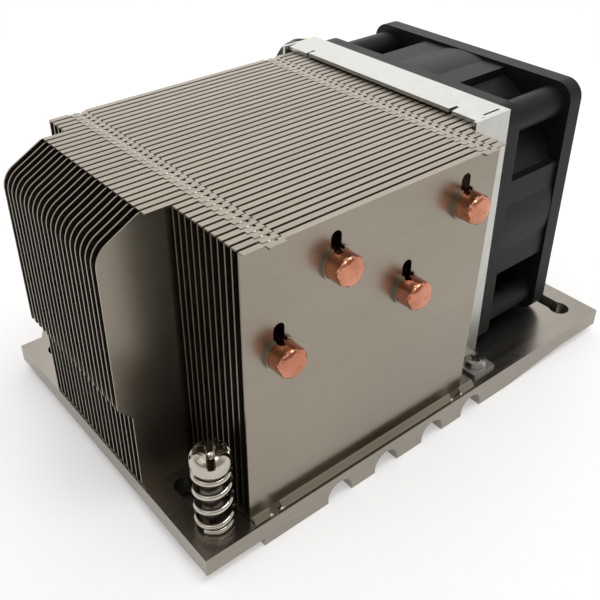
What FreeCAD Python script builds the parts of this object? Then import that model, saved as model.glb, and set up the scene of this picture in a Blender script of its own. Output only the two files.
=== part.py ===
"""Active server CPU heatsink, 2U height: grooved base plate, zipper fin stack, four
U-bent heat pipes, sheet-metal bracket with an axial fan, and a sprung captive screw.

Millimetres.  X runs along the fins towards the fan, Y across them, Z up.  The origin
lies under the middle of the part, on the underside of the base plate's contact pad.
Every piece is drawn from the near left corner of the base plate, or from its own
axis, and its Placement carries it to the part's frame."""
import FreeCAD, Part
import math
import os
import Sketcher
from FreeCAD import Placement, Rotation, Vector

DIMENSIONS = {
    "Base plate": [
        ("base_length", 120.0),
        ("base_depth", 79.5),
        ("plate_thickness", 4.2),
        ("ear_reach", 6.0),
        ("ear_inset", 5.4),
        ("ear_taper", 3.5),
        ("contact_thickness", 2.0),
        ("contact_start", 13.3),
        ("contact_length", 72.7),
        ("ramp_length", 20.0),
        ("bolt_pitch_long", 106.7),
        ("bolt_pitch_short", 66.2),
        ("keyhole_radius", 2.45),
        ("keyhole_slot_width", 3.7),
        ("keyhole_slot_length", 12.9),
    ],
    "Heat pipes": [
        ("pipe_radius", 3.0),
        ("pipe_bend_radius", 10.0),
        ("pipe_flat_height", 4.25),
        ("pipe_seat_gap", 0.05),
        ("pipe_foot_start", 8.0),
        ("pipe_foot_end", 61.0),
        ("pipe_bend_start", 67.8),
        ("pipe_tip_reach", 2.0),
        ("lower_leg_1", 32.7),
        ("lower_leg_2", 45.7),
        ("lower_leg_3", 59.7),
        ("lower_leg_4", 72.5),
        ("upper_leg_1", 19.3),
        ("upper_leg_2", 31.7),
        ("upper_leg_3", 49.7),
        ("upper_leg_4", 64.0),
        ("low_row_height", 36.8),
        ("high_row_height", 50.0),
        ("riser_slot_gap", 0.6),
    ],
    "Fins": [
        ("fin_height", 60.0),
        ("fin_pitch", 1.842),
        ("fin_gap", 0.28),
        ("fin_sheet", 0.35),
        ("fin_bend", 0.3),
        ("fin_start", 1.2),
        ("fin_front", 11.8),
        ("fin_rear", 78.5),
        ("short_fin_rear", 73.1),
        ("short_fin_rake", 2.4),
        ("nose_reach", 2.4),
        ("nose_shoulder", 6.8),
        ("nose_drop", 5.1),
        ("nose_round", 4.8),
        ("nose_chin_height", 21.2),
        ("nose_chin_setback", 2.7),
        ("zip_front", 17.8),
        ("zip_rear", 68.2),
        ("zip_width", 3.5),
        ("zip_reach", 0.65),
        ("zip_gap", 0.2),
        ("zip_hole_offset", 0.55),
        ("zip_hole_start", 0.15),
        ("zip_hole_side", 0.6),
        ("lip_notch_start", 19.0),
        ("lip_notch_width", 5.0),
        ("solder_slot_width", 2.4),
        ("solder_slot_rise", 6.2),
        ("collar_wall", 0.4),
        ("collar_reach", 0.8),
    ],
    "Fan bracket": [
        ("bracket_sheet", 0.8),
        ("bracket_front", 74.1),
        ("bracket_mouth_radius", 28.5),
        ("hood_gap", 0.3),
        ("hood_front", 75.3),
        ("hood_relief", 2.2),
        ("hood_tab_length", 6.4),
        ("hood_notch", 0.8),
        ("foot_reach", 7.2),
        ("foot_width", 6.7),
        ("foot_start", 75.7),
        ("foot_screw_offset", 4.1),
    ],
    "Fan": [
        ("fan_size", 60.0),
        ("fan_depth", 25.0),
        ("fan_station", 84.4),
        ("fan_axis_y", 39.35),
        ("fan_lift", 0.8),
        ("fan_bore_radius", 28.7),
        ("fan_barrel_wall", 1.2),
        ("fan_front_flange", 4.0),
        ("fan_rear_flange", 4.0),
        ("fan_corner_radius", 4.0),
        ("fan_hole_pitch", 50.0),
        ("fan_hole_radius", 2.15),
        ("fan_panel_width", 24.0),
        ("fan_panel_inset", 0.7),
        ("fan_post_radius", 3.5),
        ("hub_radius", 15.5),
        ("hub_wall", 1.8),
        ("hub_face", 1.2),
        ("hub_start", 7.1),
        ("hub_length", 17.1),
        ("blade_tip_gap", 0.4),
        ("blade_thickness", 1.1),
        ("blade_chord", 14.4),
        ("blade_root_sweep", 11.0),
        ("blade_root_camber", 1.6),
        ("blade_tip_inset", 1.0),
        ("blade_tip_sweep", 20.0),
        ("blade_tip_camber", 2.4),
        ("strut_width", 3.2),
        ("strut_depth", 2.2),
        ("strut_recess", 0.6),
        ("bearing_radius", 4.0),
        ("bearing_length", 4.0),
        ("bearing_tube_wall", 0.8),
        ("bearing_tube_end", 18.6),
        ("shaft_radius", 1.5),
        ("running_gap", 0.03),
        ("magnet_wall", 1.6),
        ("magnet_length", 12.0),
        ("yoke_wall", 0.5),
        ("air_gap", 0.4),
        ("stator_length", 10.0),
        ("board_thickness", 1.0),
    ],
    "Screws": [
        ("captive_shank_radius", 2.3),
        ("captive_head_radius", 4.0),
        ("captive_head_height", 3.9),
        ("captive_dome_radius", 2.7),
        ("captive_thread_radius", 1.9),
        ("spring_wire", 1.0),
        ("spring_radius", 3.6),
        ("spring_length", 15.0),
        ("spring_turns", 5.5),
        ("clip_sheet", 0.5),
        ("clip_radius", 3.2),
        ("foot_screw_radius", 1.45),
        ("foot_screw_head", 2.6),
        ("fan_screw_radius", 2.1),
        ("fan_screw_head", 3.7),
        ("hole_gap", 0.05),
    ],
    "Fan lead": [
        ("lead_radius", 1.1),
        ("plug_length", 11.4),
        ("plug_width", 10.2),
        ("plug_height", 5.8),
        ("pin_pitch", 2.54),
    ],
}
FIN_COUNT = 36
SHORT_FINS = 5
SET_BACK_FINS = 11
NOSE_FINS = 21
BLADES = 7

doc = FreeCAD.newDocument("ServerHeatsink")
sheet = doc.addObject("Spreadsheet::Sheet", "Dims")
row = 1
for heading, entries in DIMENSIONS.items():
    sheet.set("A%d" % row, heading)
    row += 1
    for alias, value in entries:
        sheet.set("A%d" % row, alias)
        sheet.set("B%d" % row, str(value))
        sheet.setAlias("B%d" % row, alias)
        row += 1
doc.recompute()


class Size(float):
    """A length that also carries the sheet formula it came from."""

    def __new__(cls, value, formula):
        size = super().__new__(cls, value)
        size.formula = formula
        return size

    def __add__(self, other):
        return Size(float(self) + float(other), "(%s + %s)" % (self.formula, formula(other)))

    def __radd__(self, other):
        return Size(float(other) + float(self), "(%s + %s)" % (formula(other), self.formula))

    def __sub__(self, other):
        return Size(float(self) - float(other), "(%s - %s)" % (self.formula, formula(other)))

    def __rsub__(self, other):
        return Size(float(other) - float(self), "(%s - %s)" % (formula(other), self.formula))

    def __mul__(self, other):
        return Size(float(self) * float(other), "(%s * %s)" % (self.formula, formula(other)))

    def __rmul__(self, other):
        return Size(float(other) * float(self), "(%s * %s)" % (formula(other), self.formula))

    def __truediv__(self, other):
        return Size(float(self) / float(other), "(%s / %s)" % (self.formula, formula(other)))

    def __neg__(self):
        return Size(-float(self), "(0 - %s)" % self.formula)


def formula(value):
    """The sheet formula of a size, or a bare number in brackets."""
    return value.formula if isinstance(value, Size) else "(%.9g)" % value


class Dimensions:
    """Reads a named dimension: dim.base_length."""

    def __getattr__(self, alias):
        return Size(sheet.get(alias), "Dims." + alias)


dim = Dimensions()

# Levels and places that several pieces share, all from the base plate's near left corner.
base_top = dim.contact_thickness + dim.plate_thickness
stack_top = base_top + dim.fin_height
flange_depth = dim.fin_pitch - dim.fin_gap
hole_margin = dim.pipe_radius + dim.pipe_seat_gap
lower_legs = [dim.lower_leg_1, dim.lower_leg_2, dim.lower_leg_3, dim.lower_leg_4]
upper_legs = [dim.upper_leg_1, dim.upper_leg_2, dim.upper_leg_3, dim.upper_leg_4]
row_heights = [dim.low_row_height, dim.high_row_height, dim.low_row_height, dim.high_row_height]
pipe_floor = dim.pipe_radius + dim.pipe_seat_gap
groove_width = 2 * (dim.pipe_radius + 0.15) + 2 * dim.pipe_seat_gap
groove_height = dim.pipe_flat_height + dim.pipe_seat_gap
fan_near = dim.fan_axis_y - dim.fan_size / 2
fan_far = dim.fan_axis_y + dim.fan_size / 2
fan_axis_z = base_top + dim.fan_lift + dim.fan_size / 2
hood_bottom = stack_top + dim.hood_gap
hood_top = hood_bottom + dim.bracket_sheet
foot_screw_x = dim.foot_start + dim.foot_width / 2
foot_screws_y = [fan_near - dim.foot_screw_offset, fan_far + dim.foot_screw_offset]
bolt_x = dim.base_length / 2 - dim.bolt_pitch_long / 2
bolt_y = dim.base_depth / 2 - dim.bolt_pitch_short / 2
middle_x = (dim.base_length - dim.nose_reach) / 2
middle_y = (dim.base_depth + dim.ear_reach - dim.pipe_tip_reach) / 2

pieces = []


def place(piece, x=0.0, y=0.0, z=0.0):
    """Carry a piece from the base plate's corner to the part's own origin."""
    piece.setExpression("Placement.Base.x", formula(x - middle_x))
    piece.setExpression("Placement.Base.y", formula(y - middle_y))
    piece.setExpression("Placement.Base.z", formula(z))


def keep(piece, label):
    """Name a finished piece and list it for export."""
    piece.Label = label
    pieces.append(piece)
    return piece


def new_body(name, x=0.0, y=0.0, z=0.0):
    body = doc.addObject("PartDesign::Body", name)
    place(body, x, y, z)
    return body


class Ring:
    """A circle in a sketch."""

    def __init__(self, u, v, radius):
        self.u, self.v, self.radius = u, v, radius


class Arched:
    """A closed outline whose side number i is an arc round centres[i]."""

    def __init__(self, points, centres):
        self.points, self.centres = points, centres


def pin_point(sketch, geometry, end, u, v):
    """Hold one point of a sketch at (u, v)."""
    for kind, axis, value in (("DistanceX", -2, u), ("DistanceY", -1, v)):
        pin_coordinate(sketch, geometry, end, kind, axis, value)


def pin_coordinate(sketch, geometry, end, kind, axis, value):
    if not isinstance(value, Size) and abs(value) < 1e-9:
        sketch.addConstraint(Sketcher.Constraint("PointOnObject", geometry, end, axis))
        return
    number = sketch.addConstraint(Sketcher.Constraint(kind, -1, 1, geometry, end, float(value)))
    if isinstance(value, Size):
        sketch.setExpression("Constraints[%d]" % number, value.formula)


def draw_ring(sketch, ring):
    circle = Part.Circle(Vector(ring.u, ring.v, 0), Vector(0, 0, 1), float(ring.radius))
    number = sketch.addGeometry(circle, False)
    pin_point(sketch, number, 3, ring.u, ring.v)
    held = sketch.addConstraint(Sketcher.Constraint("Radius", number, float(ring.radius)))
    sketch.setExpression("Constraints[%d]" % held, formula(ring.radius))


def draw_outline(sketch, points, centres):
    """A closed outline of lines and arcs; each corner and each arc's centre is held."""
    first = sketch.GeometryCount
    ends = []
    for i, start in enumerate(points):
        stop = points[(i + 1) % len(points)]
        if i not in centres:
            line = Part.LineSegment(Vector(start[0], start[1], 0), Vector(stop[0], stop[1], 0))
            sketch.addGeometry(line, False)
            ends.append((1, 2))
            continue
        centre = centres[i]
        angles = [math.atan2(p[1] - centre[1], p[0] - centre[0]) for p in (start, stop)]
        radius = math.hypot(start[0] - centre[0], start[1] - centre[1])
        circle = Part.Circle(Vector(centre[0], centre[1], 0), Vector(0, 0, 1), radius)
        forward = (angles[1] - angles[0]) % (2 * math.pi) < math.pi + 1e-6
        ends.append((1, 2) if forward else (2, 1))
        if not forward:
            angles.reverse()
        sketch.addGeometry(Part.ArcOfCircle(circle, angles[0], angles[1]), False)
    for i, start in enumerate(points):
        after = (i + 1) % len(points)
        sketch.addConstraint(
            Sketcher.Constraint("Coincident", first + i, ends[i][1], first + after, ends[after][0]))
        pin_point(sketch, first + i, ends[i][0], start[0], start[1])
    for i, centre in centres.items():
        start, stop = points[i], points[(i + 1) % len(points)]
        if abs(stop[0] - start[0]) > abs(stop[1] - start[1]):
            pin_coordinate(sketch, first + i, 3, "DistanceY", -1, centre[1])
        else:
            pin_coordinate(sketch, first + i, 3, "DistanceX", -2, centre[0])


def draw(body, name, plane, shapes, level=0.0):
    """A sketch on one of the body's own planes: outlines, arched outlines and rings."""
    sketch = body.newObject("Sketcher::SketchObject", name)
    support = [item for item in body.Origin.OriginFeatures if item.Role == plane][0]
    sketch.AttachmentSupport = (support, "")
    sketch.MapMode = "FlatFace"
    sketch.setExpression("AttachmentOffset.Base.z", formula(level))
    for shape in shapes:
        if isinstance(shape, Ring):
            draw_ring(sketch, shape)
        elif isinstance(shape, Arched):
            draw_outline(sketch, shape.points, shape.centres)
        else:
            draw_outline(sketch, shape, {})
    return sketch


def pad(body, name, sketch, length, backwards=False):
    feature = body.newObject("PartDesign::Pad", name)
    feature.Profile = sketch
    feature.setExpression("Length", formula(length))
    feature.Reversed = backwards
    return feature


def pocket(body, name, sketch, depth, backwards=False):
    feature = body.newObject("PartDesign::Pocket", name)
    feature.Profile = sketch
    feature.setExpression("Length", formula(depth))
    feature.Reversed = backwards
    return feature


def cut_through(body, name, sketch):
    feature = body.newObject("PartDesign::Pocket", name)
    feature.Profile = sketch
    feature.Type = "ThroughAll"
    feature.Midplane = True
    return feature


def revolve(body, name, sketch, axis):
    """A full turn about the body's own X_Axis or Z_Axis."""
    feature = body.newObject("PartDesign::Revolution", name)
    feature.Profile = sketch
    line = [item for item in body.Origin.OriginFeatures if item.Role == axis][0]
    feature.ReferenceAxis = (line, [""])
    feature.Angle = 360.0
    return feature


def box(u0, v0, u1, v1):
    return [(u0, v0), (u1, v0), (u1, v1), (u0, v1)]


def rounded_box(u0, v0, u1, v1, radius):
    points = [
        (u0 + radius, v0), (u1 - radius, v0), (u1, v0 + radius), (u1, v1 - radius),
        (u1 - radius, v1), (u0 + radius, v1), (u0, v1 - radius), (u0, v0 + radius),
    ]
    centres = {
        1: (u1 - radius, v0 + radius), 3: (u1 - radius, v1 - radius),
        5: (u0 + radius, v1 - radius), 7: (u0 + radius, v0 + radius),
    }
    return Arched(points, centres)


def cross(reach, half_width):
    """A plus sign centred on the origin."""
    a, b = reach, half_width
    return [
        (b, -a), (b, -b), (a, -b), (a, b), (b, b), (b, a),
        (-b, a), (-b, b), (-a, b), (-a, -b), (-b, -b), (-b, -a),
    ]


# ---------------------------------------------------------------- base plate
# One milled plate.  The far edge has a tapered ear.  The underside carries the contact
# pad, which ramps away towards the fan, and four round-topped grooves for the pipes.

base = new_body("BasePlate")
far_edge = dim.base_depth + dim.ear_reach
ear_root = dim.ear_inset
ear_tip = dim.ear_inset + dim.ear_taper
plate_outline = [
    (0.0, 0.0), (dim.base_length, 0.0), (dim.base_length, dim.base_depth),
    (dim.base_length - ear_root, dim.base_depth), (dim.base_length - ear_tip, far_edge),
    (ear_tip, far_edge), (ear_root, dim.base_depth), (0.0, dim.base_depth),
]
pad(base, "Plate", draw(base, "PlateOutline", "XY_Plane", [plate_outline],
                        level=dim.contact_thickness), dim.plate_thickness)
contact_end = dim.contact_start + dim.contact_length
contact_profile = [
    (dim.contact_start, 0.0), (contact_end, 0.0),
    (contact_end + dim.ramp_length, dim.contact_thickness),
    (dim.contact_start, dim.contact_thickness),
]
pad(base, "ContactPad", draw(base, "ContactProfile", "XZ_Plane", [contact_profile]),
    dim.base_depth, backwards=True)

riser_slot_start = dim.pipe_foot_end - dim.pipe_seat_gap
riser_slot_end = dim.pipe_bend_start + dim.pipe_bend_radius + dim.pipe_radius + 1.2
groove_walls = []
groove_roofs = []
riser_slots = []
for lower, upper, height in zip(lower_legs, upper_legs, row_heights):
    half = groove_width / 2
    groove_walls.append(box(lower - half, 0.0, lower + half, groove_height - half))
    groove_roofs.append(Ring(lower, groove_height - half, half))
    lean = (lower - upper) / (base_top + height - pipe_floor) * (base_top - pipe_floor)
    side = dim.pipe_radius + dim.riser_slot_gap
    riser_slots.append(box(lower - side - lean, riser_slot_start, lower + side, riser_slot_end))
pocket(base, "GrooveWalls", draw(base, "GrooveWallLines", "XZ_Plane", groove_walls),
       riser_slot_start + 0.1)
pocket(base, "GrooveRoofs", draw(base, "GrooveRoofLines", "XZ_Plane", groove_roofs),
       riser_slot_start + 0.1)
pocket(base, "RiserSlots", draw(base, "RiserSlotLines", "XY_Plane", riser_slots,
                                level=base_top), base_top)

keyholes = []
keyhole_slots = []
for u in (bolt_x, dim.base_length - bolt_x):
    for v, way in ((bolt_y, 1.0), (dim.base_depth - bolt_y, -1.0)):
        keyholes.append(Ring(u, v, dim.keyhole_radius))
        half = dim.keyhole_slot_width / 2
        stop = v + way * (dim.keyhole_slot_length - half)
        corners = [(u - way * half, v), (u + way * half, v), (u + way * half, stop),
                   (u - way * half, stop)]
        keyhole_slots.append(Arched(corners, {2: (u, stop)}))
pocket(base, "Keyholes", draw(base, "KeyholeRings", "XY_Plane", keyholes, level=base_top), base_top)
pocket(base, "KeyholeSlots", draw(base, "KeyholeSlotLines", "XY_Plane", keyhole_slots,
                                  level=base_top), base_top)
foot_screw_holes = [Ring(foot_screw_x, v, dim.foot_screw_radius + dim.hole_gap)
                    for v in foot_screws_y]
foot_screw_length = dim.plate_thickness
pocket(base, "FootScrewHoles", draw(base, "FootScrewRings", "XY_Plane", foot_screw_holes,
                                    level=base_top), foot_screw_length)
keep(base, "base_plate")

# ---------------------------------------------------------------- zipper fin stack
# Each fin is a web with a top and a bottom flange bent towards the near side.  In two
# rows a tab of each top flange locks into a notch of the fin before it, beside a small
# punched hole.


def nose_outline():
    """A nose fin's web: sloping brow, rounded corner and a chin cut back near the base."""
    slope_run = dim.nose_shoulder + dim.nose_reach
    slope = float(dim.nose_drop) / float(slope_run)
    turn = math.pi / 2 - math.atan(slope)
    tangent = dim.nose_round * math.tan(turn / 2)
    corner = dim.fin_height - dim.nose_drop
    along = math.hypot(1.0, slope)
    start = (-dim.nose_reach + tangent * (1 / along), corner + tangent * (slope / along))
    stop = (-dim.nose_reach, corner - tangent)
    centre = (-dim.nose_reach + dim.nose_round, corner - tangent)
    chin = dim.nose_chin_setback - dim.nose_reach
    points = [
        (chin, 0.0), (dim.fin_rear, 0.0), (dim.fin_rear, dim.fin_height),
        (dim.nose_shoulder, dim.fin_height), start, stop,
        (-dim.nose_reach, dim.nose_chin_height),
        (chin, dim.nose_chin_height - 1.2 * dim.nose_chin_setback),
    ]
    return points, {4: centre}


def straight_outline(rear_top, rear_bottom):
    points = [(dim.fin_front, 0.0), (rear_bottom, 0.0), (rear_top, dim.fin_height),
              (dim.fin_front, dim.fin_height)]
    return points, {}


def six_sided(u, v, inner):
    """A six-sided hole whose flats touch a circle of the inner radius."""
    outer = inner / math.cos(math.pi / 6)
    return [(u + outer * math.cos(math.pi * k / 3), v + outer * math.sin(math.pi * k / 3))
            for k in range(6)]


def flange(front, rear, tabs):
    """The top flange in plan: a strip with a locking tab in each zipper row."""
    half = dim.zip_width / 2
    reach = -(dim.fin_gap + dim.zip_reach)
    points = [(front, 0.0)]
    for row_x in tabs:
        points += [(row_x - half, 0.0), (row_x - half, reach), (row_x + half, reach),
                   (row_x + half, 0.0)]
    return points + [(rear, 0.0), (rear, flange_depth), (front, flange_depth)]


def fin(number, outline, rear, round_holes=False, slots=False):
    """One fin, number from the near side, drawn from its own lip and the base's top."""
    name = "fin_%02d" % number
    body = new_body(name, y=dim.fin_start + (number - 1) * dim.fin_pitch, z=base_top)
    points, centres = outline
    front = points[3][0]
    bottom_front, bottom_rear = points[0][0], points[1][0]
    holes = []
    for u, v in zip(upper_legs, row_heights):
        holes.append(Ring(u, v, hole_margin) if round_holes else six_sided(u, v, hole_margin))
    web = draw(body, name + "Web", "XZ_Plane", [Arched(points, centres)] + holes,
               level=-flange_depth)
    pad(body, name + "WebSheet", web, dim.fin_sheet)
    zip_rows = [dim.zip_front, dim.zip_rear]
    top = draw(body, name + "Top", "XY_Plane", [flange(front, rear, zip_rows)],
               level=dim.fin_height - dim.fin_sheet)
    pad(body, name + "TopFlange", top, dim.fin_sheet)
    low = draw(body, name + "Low", "XY_Plane", [flange(bottom_front, bottom_rear, [])])
    pad(body, name + "LowFlange", low, dim.fin_sheet)
    if number == 1:
        lip_notch = box(dim.lip_notch_start, -0.1, dim.lip_notch_start + dim.lip_notch_width,
                        dim.zip_reach)
        pocket(body, name + "LipNotch",
               draw(body, name + "LipNotchLines", "XY_Plane", [lip_notch], level=dim.fin_sheet),
               dim.fin_sheet)
    if round_holes and number == 1:
        collars = []
        for u, v in zip(upper_legs, row_heights):
            collars += [Ring(u, v, hole_margin + dim.collar_wall), Ring(u, v, hole_margin)]
        edge = draw(body, name + "Collars", "XZ_Plane", collars,
                    level=dim.fin_sheet - flange_depth)
        pad(body, name + "CollarRims", edge, dim.collar_reach)
    if slots:
        half = dim.solder_slot_width / 2
        openings = []
        for u, v in zip(upper_legs, row_heights):
            head = v + dim.solder_slot_rise - half
            corners = [(u + half, v), (u + half, head), (u - half, head), (u - half, v)]
            openings.append(Arched(corners, {1: (u, head)}))
        pocket(body, name + "SolderSlots",
               draw(body, name + "SlotLines", "XZ_Plane", openings, level=-flange_depth),
               flange_depth, backwards=True)
    half = dim.zip_width / 2 + dim.zip_gap
    depth = dim.zip_reach + dim.zip_gap
    notches = []
    side, lip = dim.zip_hole_side, dim.zip_hole_start
    for row_x in zip_rows:
        hole_x = row_x + dim.zip_hole_offset
        notches.append(box(row_x - half, flange_depth - depth, row_x + half, flange_depth + 0.1))
        notches.append(box(hole_x - side / 2, lip, hole_x + side / 2, lip + side))
    pocket(body, name + "ZipNotches",
           draw(body, name + "NotchLines", "XY_Plane", notches, level=dim.fin_height),
           2 * dim.fin_sheet)
    bend, far, tall = dim.fin_bend, flange_depth, dim.fin_height
    corners = [
        [(far - bend, tall), (far, tall - bend), (far, tall)],
        [(far - bend, 0.0), (far, 0.0), (far, bend)],
    ]
    cut_through(body, name + "Bends", draw(body, name + "BendLines", "YZ_Plane", corners))
    return keep(body, name)


def fin_copies(master, start, first, last):
    """The fins from first to last repeat the master, which is number start, pitch by pitch."""
    for number in range(first, last + 1):
        label = "fin_%02d" % number
        copy = doc.addObject("Part::Compound", label)
        copy.Links = [master]
        copy.setExpression("Placement.Base.y", formula((number - start) * dim.fin_pitch))
        keep(copy, label)


short = straight_outline(dim.short_fin_rear, dim.short_fin_rear - dim.short_fin_rake)
long = straight_outline(dim.fin_rear, dim.fin_rear)
nose = nose_outline()
first_long = SHORT_FINS + 1
first_nose = SET_BACK_FINS + 1
last_nose = SET_BACK_FINS + NOSE_FINS
fin(1, short, dim.short_fin_rear, round_holes=True, slots=True)
fin_copies(fin(2, short, dim.short_fin_rear, slots=True), 2, 3, 3)
fin_copies(fin(4, short, dim.short_fin_rear), 4, 5, SHORT_FINS)
set_back = fin(first_long, long, dim.fin_rear)
fin_copies(set_back, first_long, first_long + 1, SET_BACK_FINS)
nose_fin = fin(first_nose, nose, dim.fin_rear)
fin_copies(nose_fin, first_nose, first_nose + 1, last_nose)
fin_copies(set_back, first_long, last_nose + 1, FIN_COUNT - 1)
fin(FIN_COUNT, long, dim.fin_rear, slots=True)

# ---------------------------------------------------------------- heat pipes
# Each pipe is a U in a leaning plane: a lower leg pressed into the base's groove until
# its underside is flat, a riser behind the stack, and a round upper leg through every
# fin that ends in a swaged tip.


def flattened_leg(x):
    """The pressed lower leg: flat underneath, round-topped, with the section in XZ."""
    half = float(dim.pipe_radius) + 0.15
    shoulder = float(dim.pipe_flat_height) - half
    a, b = Vector(x - half, 0, 0), Vector(x + half, 0, 0)
    c, e = Vector(x + half, 0, shoulder), Vector(x - half, 0, shoulder)
    crown = Vector(x, 0, shoulder + half)
    sides = [Part.makeLine(a, b), Part.makeLine(b, c), Part.Arc(c, crown, e).toShape(),
             Part.makeLine(e, a)]
    return Part.Wire(sides)


def quartered_ring(x, z, radius, angles):
    """A circle in XZ, split at four angles, to join the flattened section side by side."""
    parts = []
    for i, start in enumerate(angles):
        stop = angles[(i + 1) % 4]
        if stop < start:
            stop += 360
        turns = [math.radians(angle) for angle in (start, (start + stop) / 2, stop)]
        spots = [Vector(x + radius * math.cos(t), 0, z + radius * math.sin(t)) for t in turns]
        parts.append(Part.Arc(*spots).toShape())
    return Part.Wire(parts)


def heat_pipe(label, x_low, x_high, z_high):
    radius, bend = float(dim.pipe_radius), float(dim.pipe_bend_radius)
    z_low, turn_y = float(pipe_floor), float(dim.pipe_bend_start)
    along_y = Vector(0, 1, 0)
    lean = Vector(x_high - x_low, 0, z_high - z_low).normalize()
    axis = along_y.cross(lean)
    low_corner = Vector(x_low, turn_y, z_low)
    high_corner = Vector(x_high, turn_y, z_high)

    section = flattened_leg(x_low)
    section.translate(Vector(0, dim.pipe_foot_start, 0))
    foot = Part.Face(section).extrude(along_y * float(dim.pipe_foot_end - dim.pipe_foot_start))
    pressed = flattened_leg(x_low)
    pressed.translate(Vector(0, dim.pipe_foot_end, 0))
    ring = quartered_ring(x_low, z_low, radius, (225, 315, 0, 180))
    ring.translate(Vector(0, turn_y - 1.5, 0))
    opening = Part.makeLoft([pressed, ring], True, True)
    stub = Part.makeCylinder(radius, 1.5, low_corner - along_y * 1.5, along_y)

    disc = Part.Face(Part.Wire(Part.makeCircle(radius, low_corner, along_y)))
    lower_bend = disc.revolve(low_corner + lean * bend, axis, 90)
    riser_start = low_corner + (lean + along_y) * bend
    riser_end = high_corner + (along_y - lean) * bend
    riser = Part.makeCylinder(radius, (riser_end - riser_start).Length, riser_start, lean)
    disc = Part.Face(Part.Wire(Part.makeCircle(radius, riser_end, lean)))
    upper_bend = disc.revolve(high_corner - lean * bend, axis, 90)

    tip = -float(dim.pipe_tip_reach)
    swage = [(turn_y, 0), (turn_y, radius), (tip + 1.0, radius), (tip + 0.35, radius - 0.2),
             (tip, radius - 0.65), (tip, 0.6), (tip + 0.4, 0)]
    corners = [Vector(x_high + r, y, z_high) for y, r in swage]
    profile = Part.Face(Part.makePolygon(corners + corners[:1]))
    upper_leg = profile.revolve(high_corner, along_y, 360)

    pipe = foot.multiFuse([opening, stub, lower_bend, riser, upper_bend, upper_leg])
    piece = doc.addObject("Part::Feature", label)
    piece.Shape = pipe.removeSplitter()
    place(piece)
    keep(piece, label)


for k in range(4):
    heat_pipe("heat_pipe_%d" % (k + 1), float(lower_legs[k]), float(upper_legs[k]),
              float(base_top + row_heights[k]))

# ---------------------------------------------------------------- fan bracket
# One sheet: a panel with the fan's mouth, two side flanges with feet turned outwards,
# and a hood over the fins whose end tabs are bent down onto them.

bracket = new_body("FanBracket")
sheet_t = dim.bracket_sheet
panel_back = dim.fan_station
hole_half = dim.fan_hole_pitch / 2
mouth = [Ring(dim.fan_axis_y, fan_axis_z, dim.bracket_mouth_radius)]
for v_way in (-1, 1):
    for w_way in (-1, 1):
        mouth.append(Ring(dim.fan_axis_y + v_way * hole_half, fan_axis_z + w_way * hole_half,
                          dim.fan_screw_radius + 0.2))
panel = draw(bracket, "PanelOutline", "YZ_Plane",
             [box(fan_near, base_top + dim.fan_lift, fan_far, hood_top)] + mouth,
             level=panel_back - sheet_t)
pad(bracket, "Panel", panel, sheet_t)
cheek = box(dim.bracket_front, base_top, panel_back, hood_top)
for side, level in (("Near", fan_near + sheet_t), ("Far", fan_far)):
    pad(bracket, side + "Flange",
        draw(bracket, side + "FlangeOutline", "XZ_Plane", [cheek], level=-level), sheet_t)
hood_back_edge = dim.hood_front + dim.hood_relief
tab_near = fan_near + sheet_t + 0.2
tab_far = fan_far - sheet_t - 0.2
lip_near = tab_near + dim.hood_tab_length + dim.hood_notch
lip_far = tab_far - dim.hood_tab_length - dim.hood_notch
hood_outline = [
    (panel_back, fan_near), (panel_back, fan_far), (hood_back_edge, fan_far),
    (hood_back_edge, lip_far), (dim.hood_front, lip_far), (dim.hood_front, lip_near),
    (hood_back_edge, lip_near), (hood_back_edge, fan_near),
]
pad(bracket, "Hood", draw(bracket, "HoodOutline", "XY_Plane", [hood_outline],
                          level=hood_bottom), sheet_t)
drop = dim.hood_gap - 0.05
tab_profile = [
    (hood_back_edge, hood_bottom), (hood_back_edge, hood_top),
    (dim.hood_front, hood_top - drop), (dim.hood_front, hood_bottom - drop),
]
for side, level in (("Near", tab_near + dim.hood_tab_length), ("Far", tab_far)):
    pad(bracket, side + "Tab",
        draw(bracket, side + "TabProfile", "XZ_Plane", [tab_profile], level=-level),
        dim.hood_tab_length)
foot_end = dim.foot_start + dim.foot_width
feet = [
    box(dim.foot_start, fan_near - dim.foot_reach, foot_end, fan_near + sheet_t),
    box(dim.foot_start, fan_far - sheet_t, foot_end, fan_far + dim.foot_reach),
]
feet += [Ring(foot_screw_x, v, dim.foot_screw_radius + 0.15) for v in foot_screws_y]
pad(bracket, "Feet", draw(bracket, "FeetOutline", "XY_Plane", feet, level=base_top), sheet_t)
seam = box(hood_back_edge + 0.6, tab_near + 0.4, panel_back - 1.6, tab_near + 0.9)
pocket(bracket, "Seam", draw(bracket, "SeamLines", "XY_Plane", [seam], level=hood_top), sheet_t)
keep(bracket, "fan_bracket")

# ---------------------------------------------------------------- fan frame
# Drawn from the middle of the fan's front face, with the fan's axis along X.


def new_fan_body(name):
    return new_body(name, x=dim.fan_station, y=dim.fan_axis_y, z=fan_axis_z)


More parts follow.
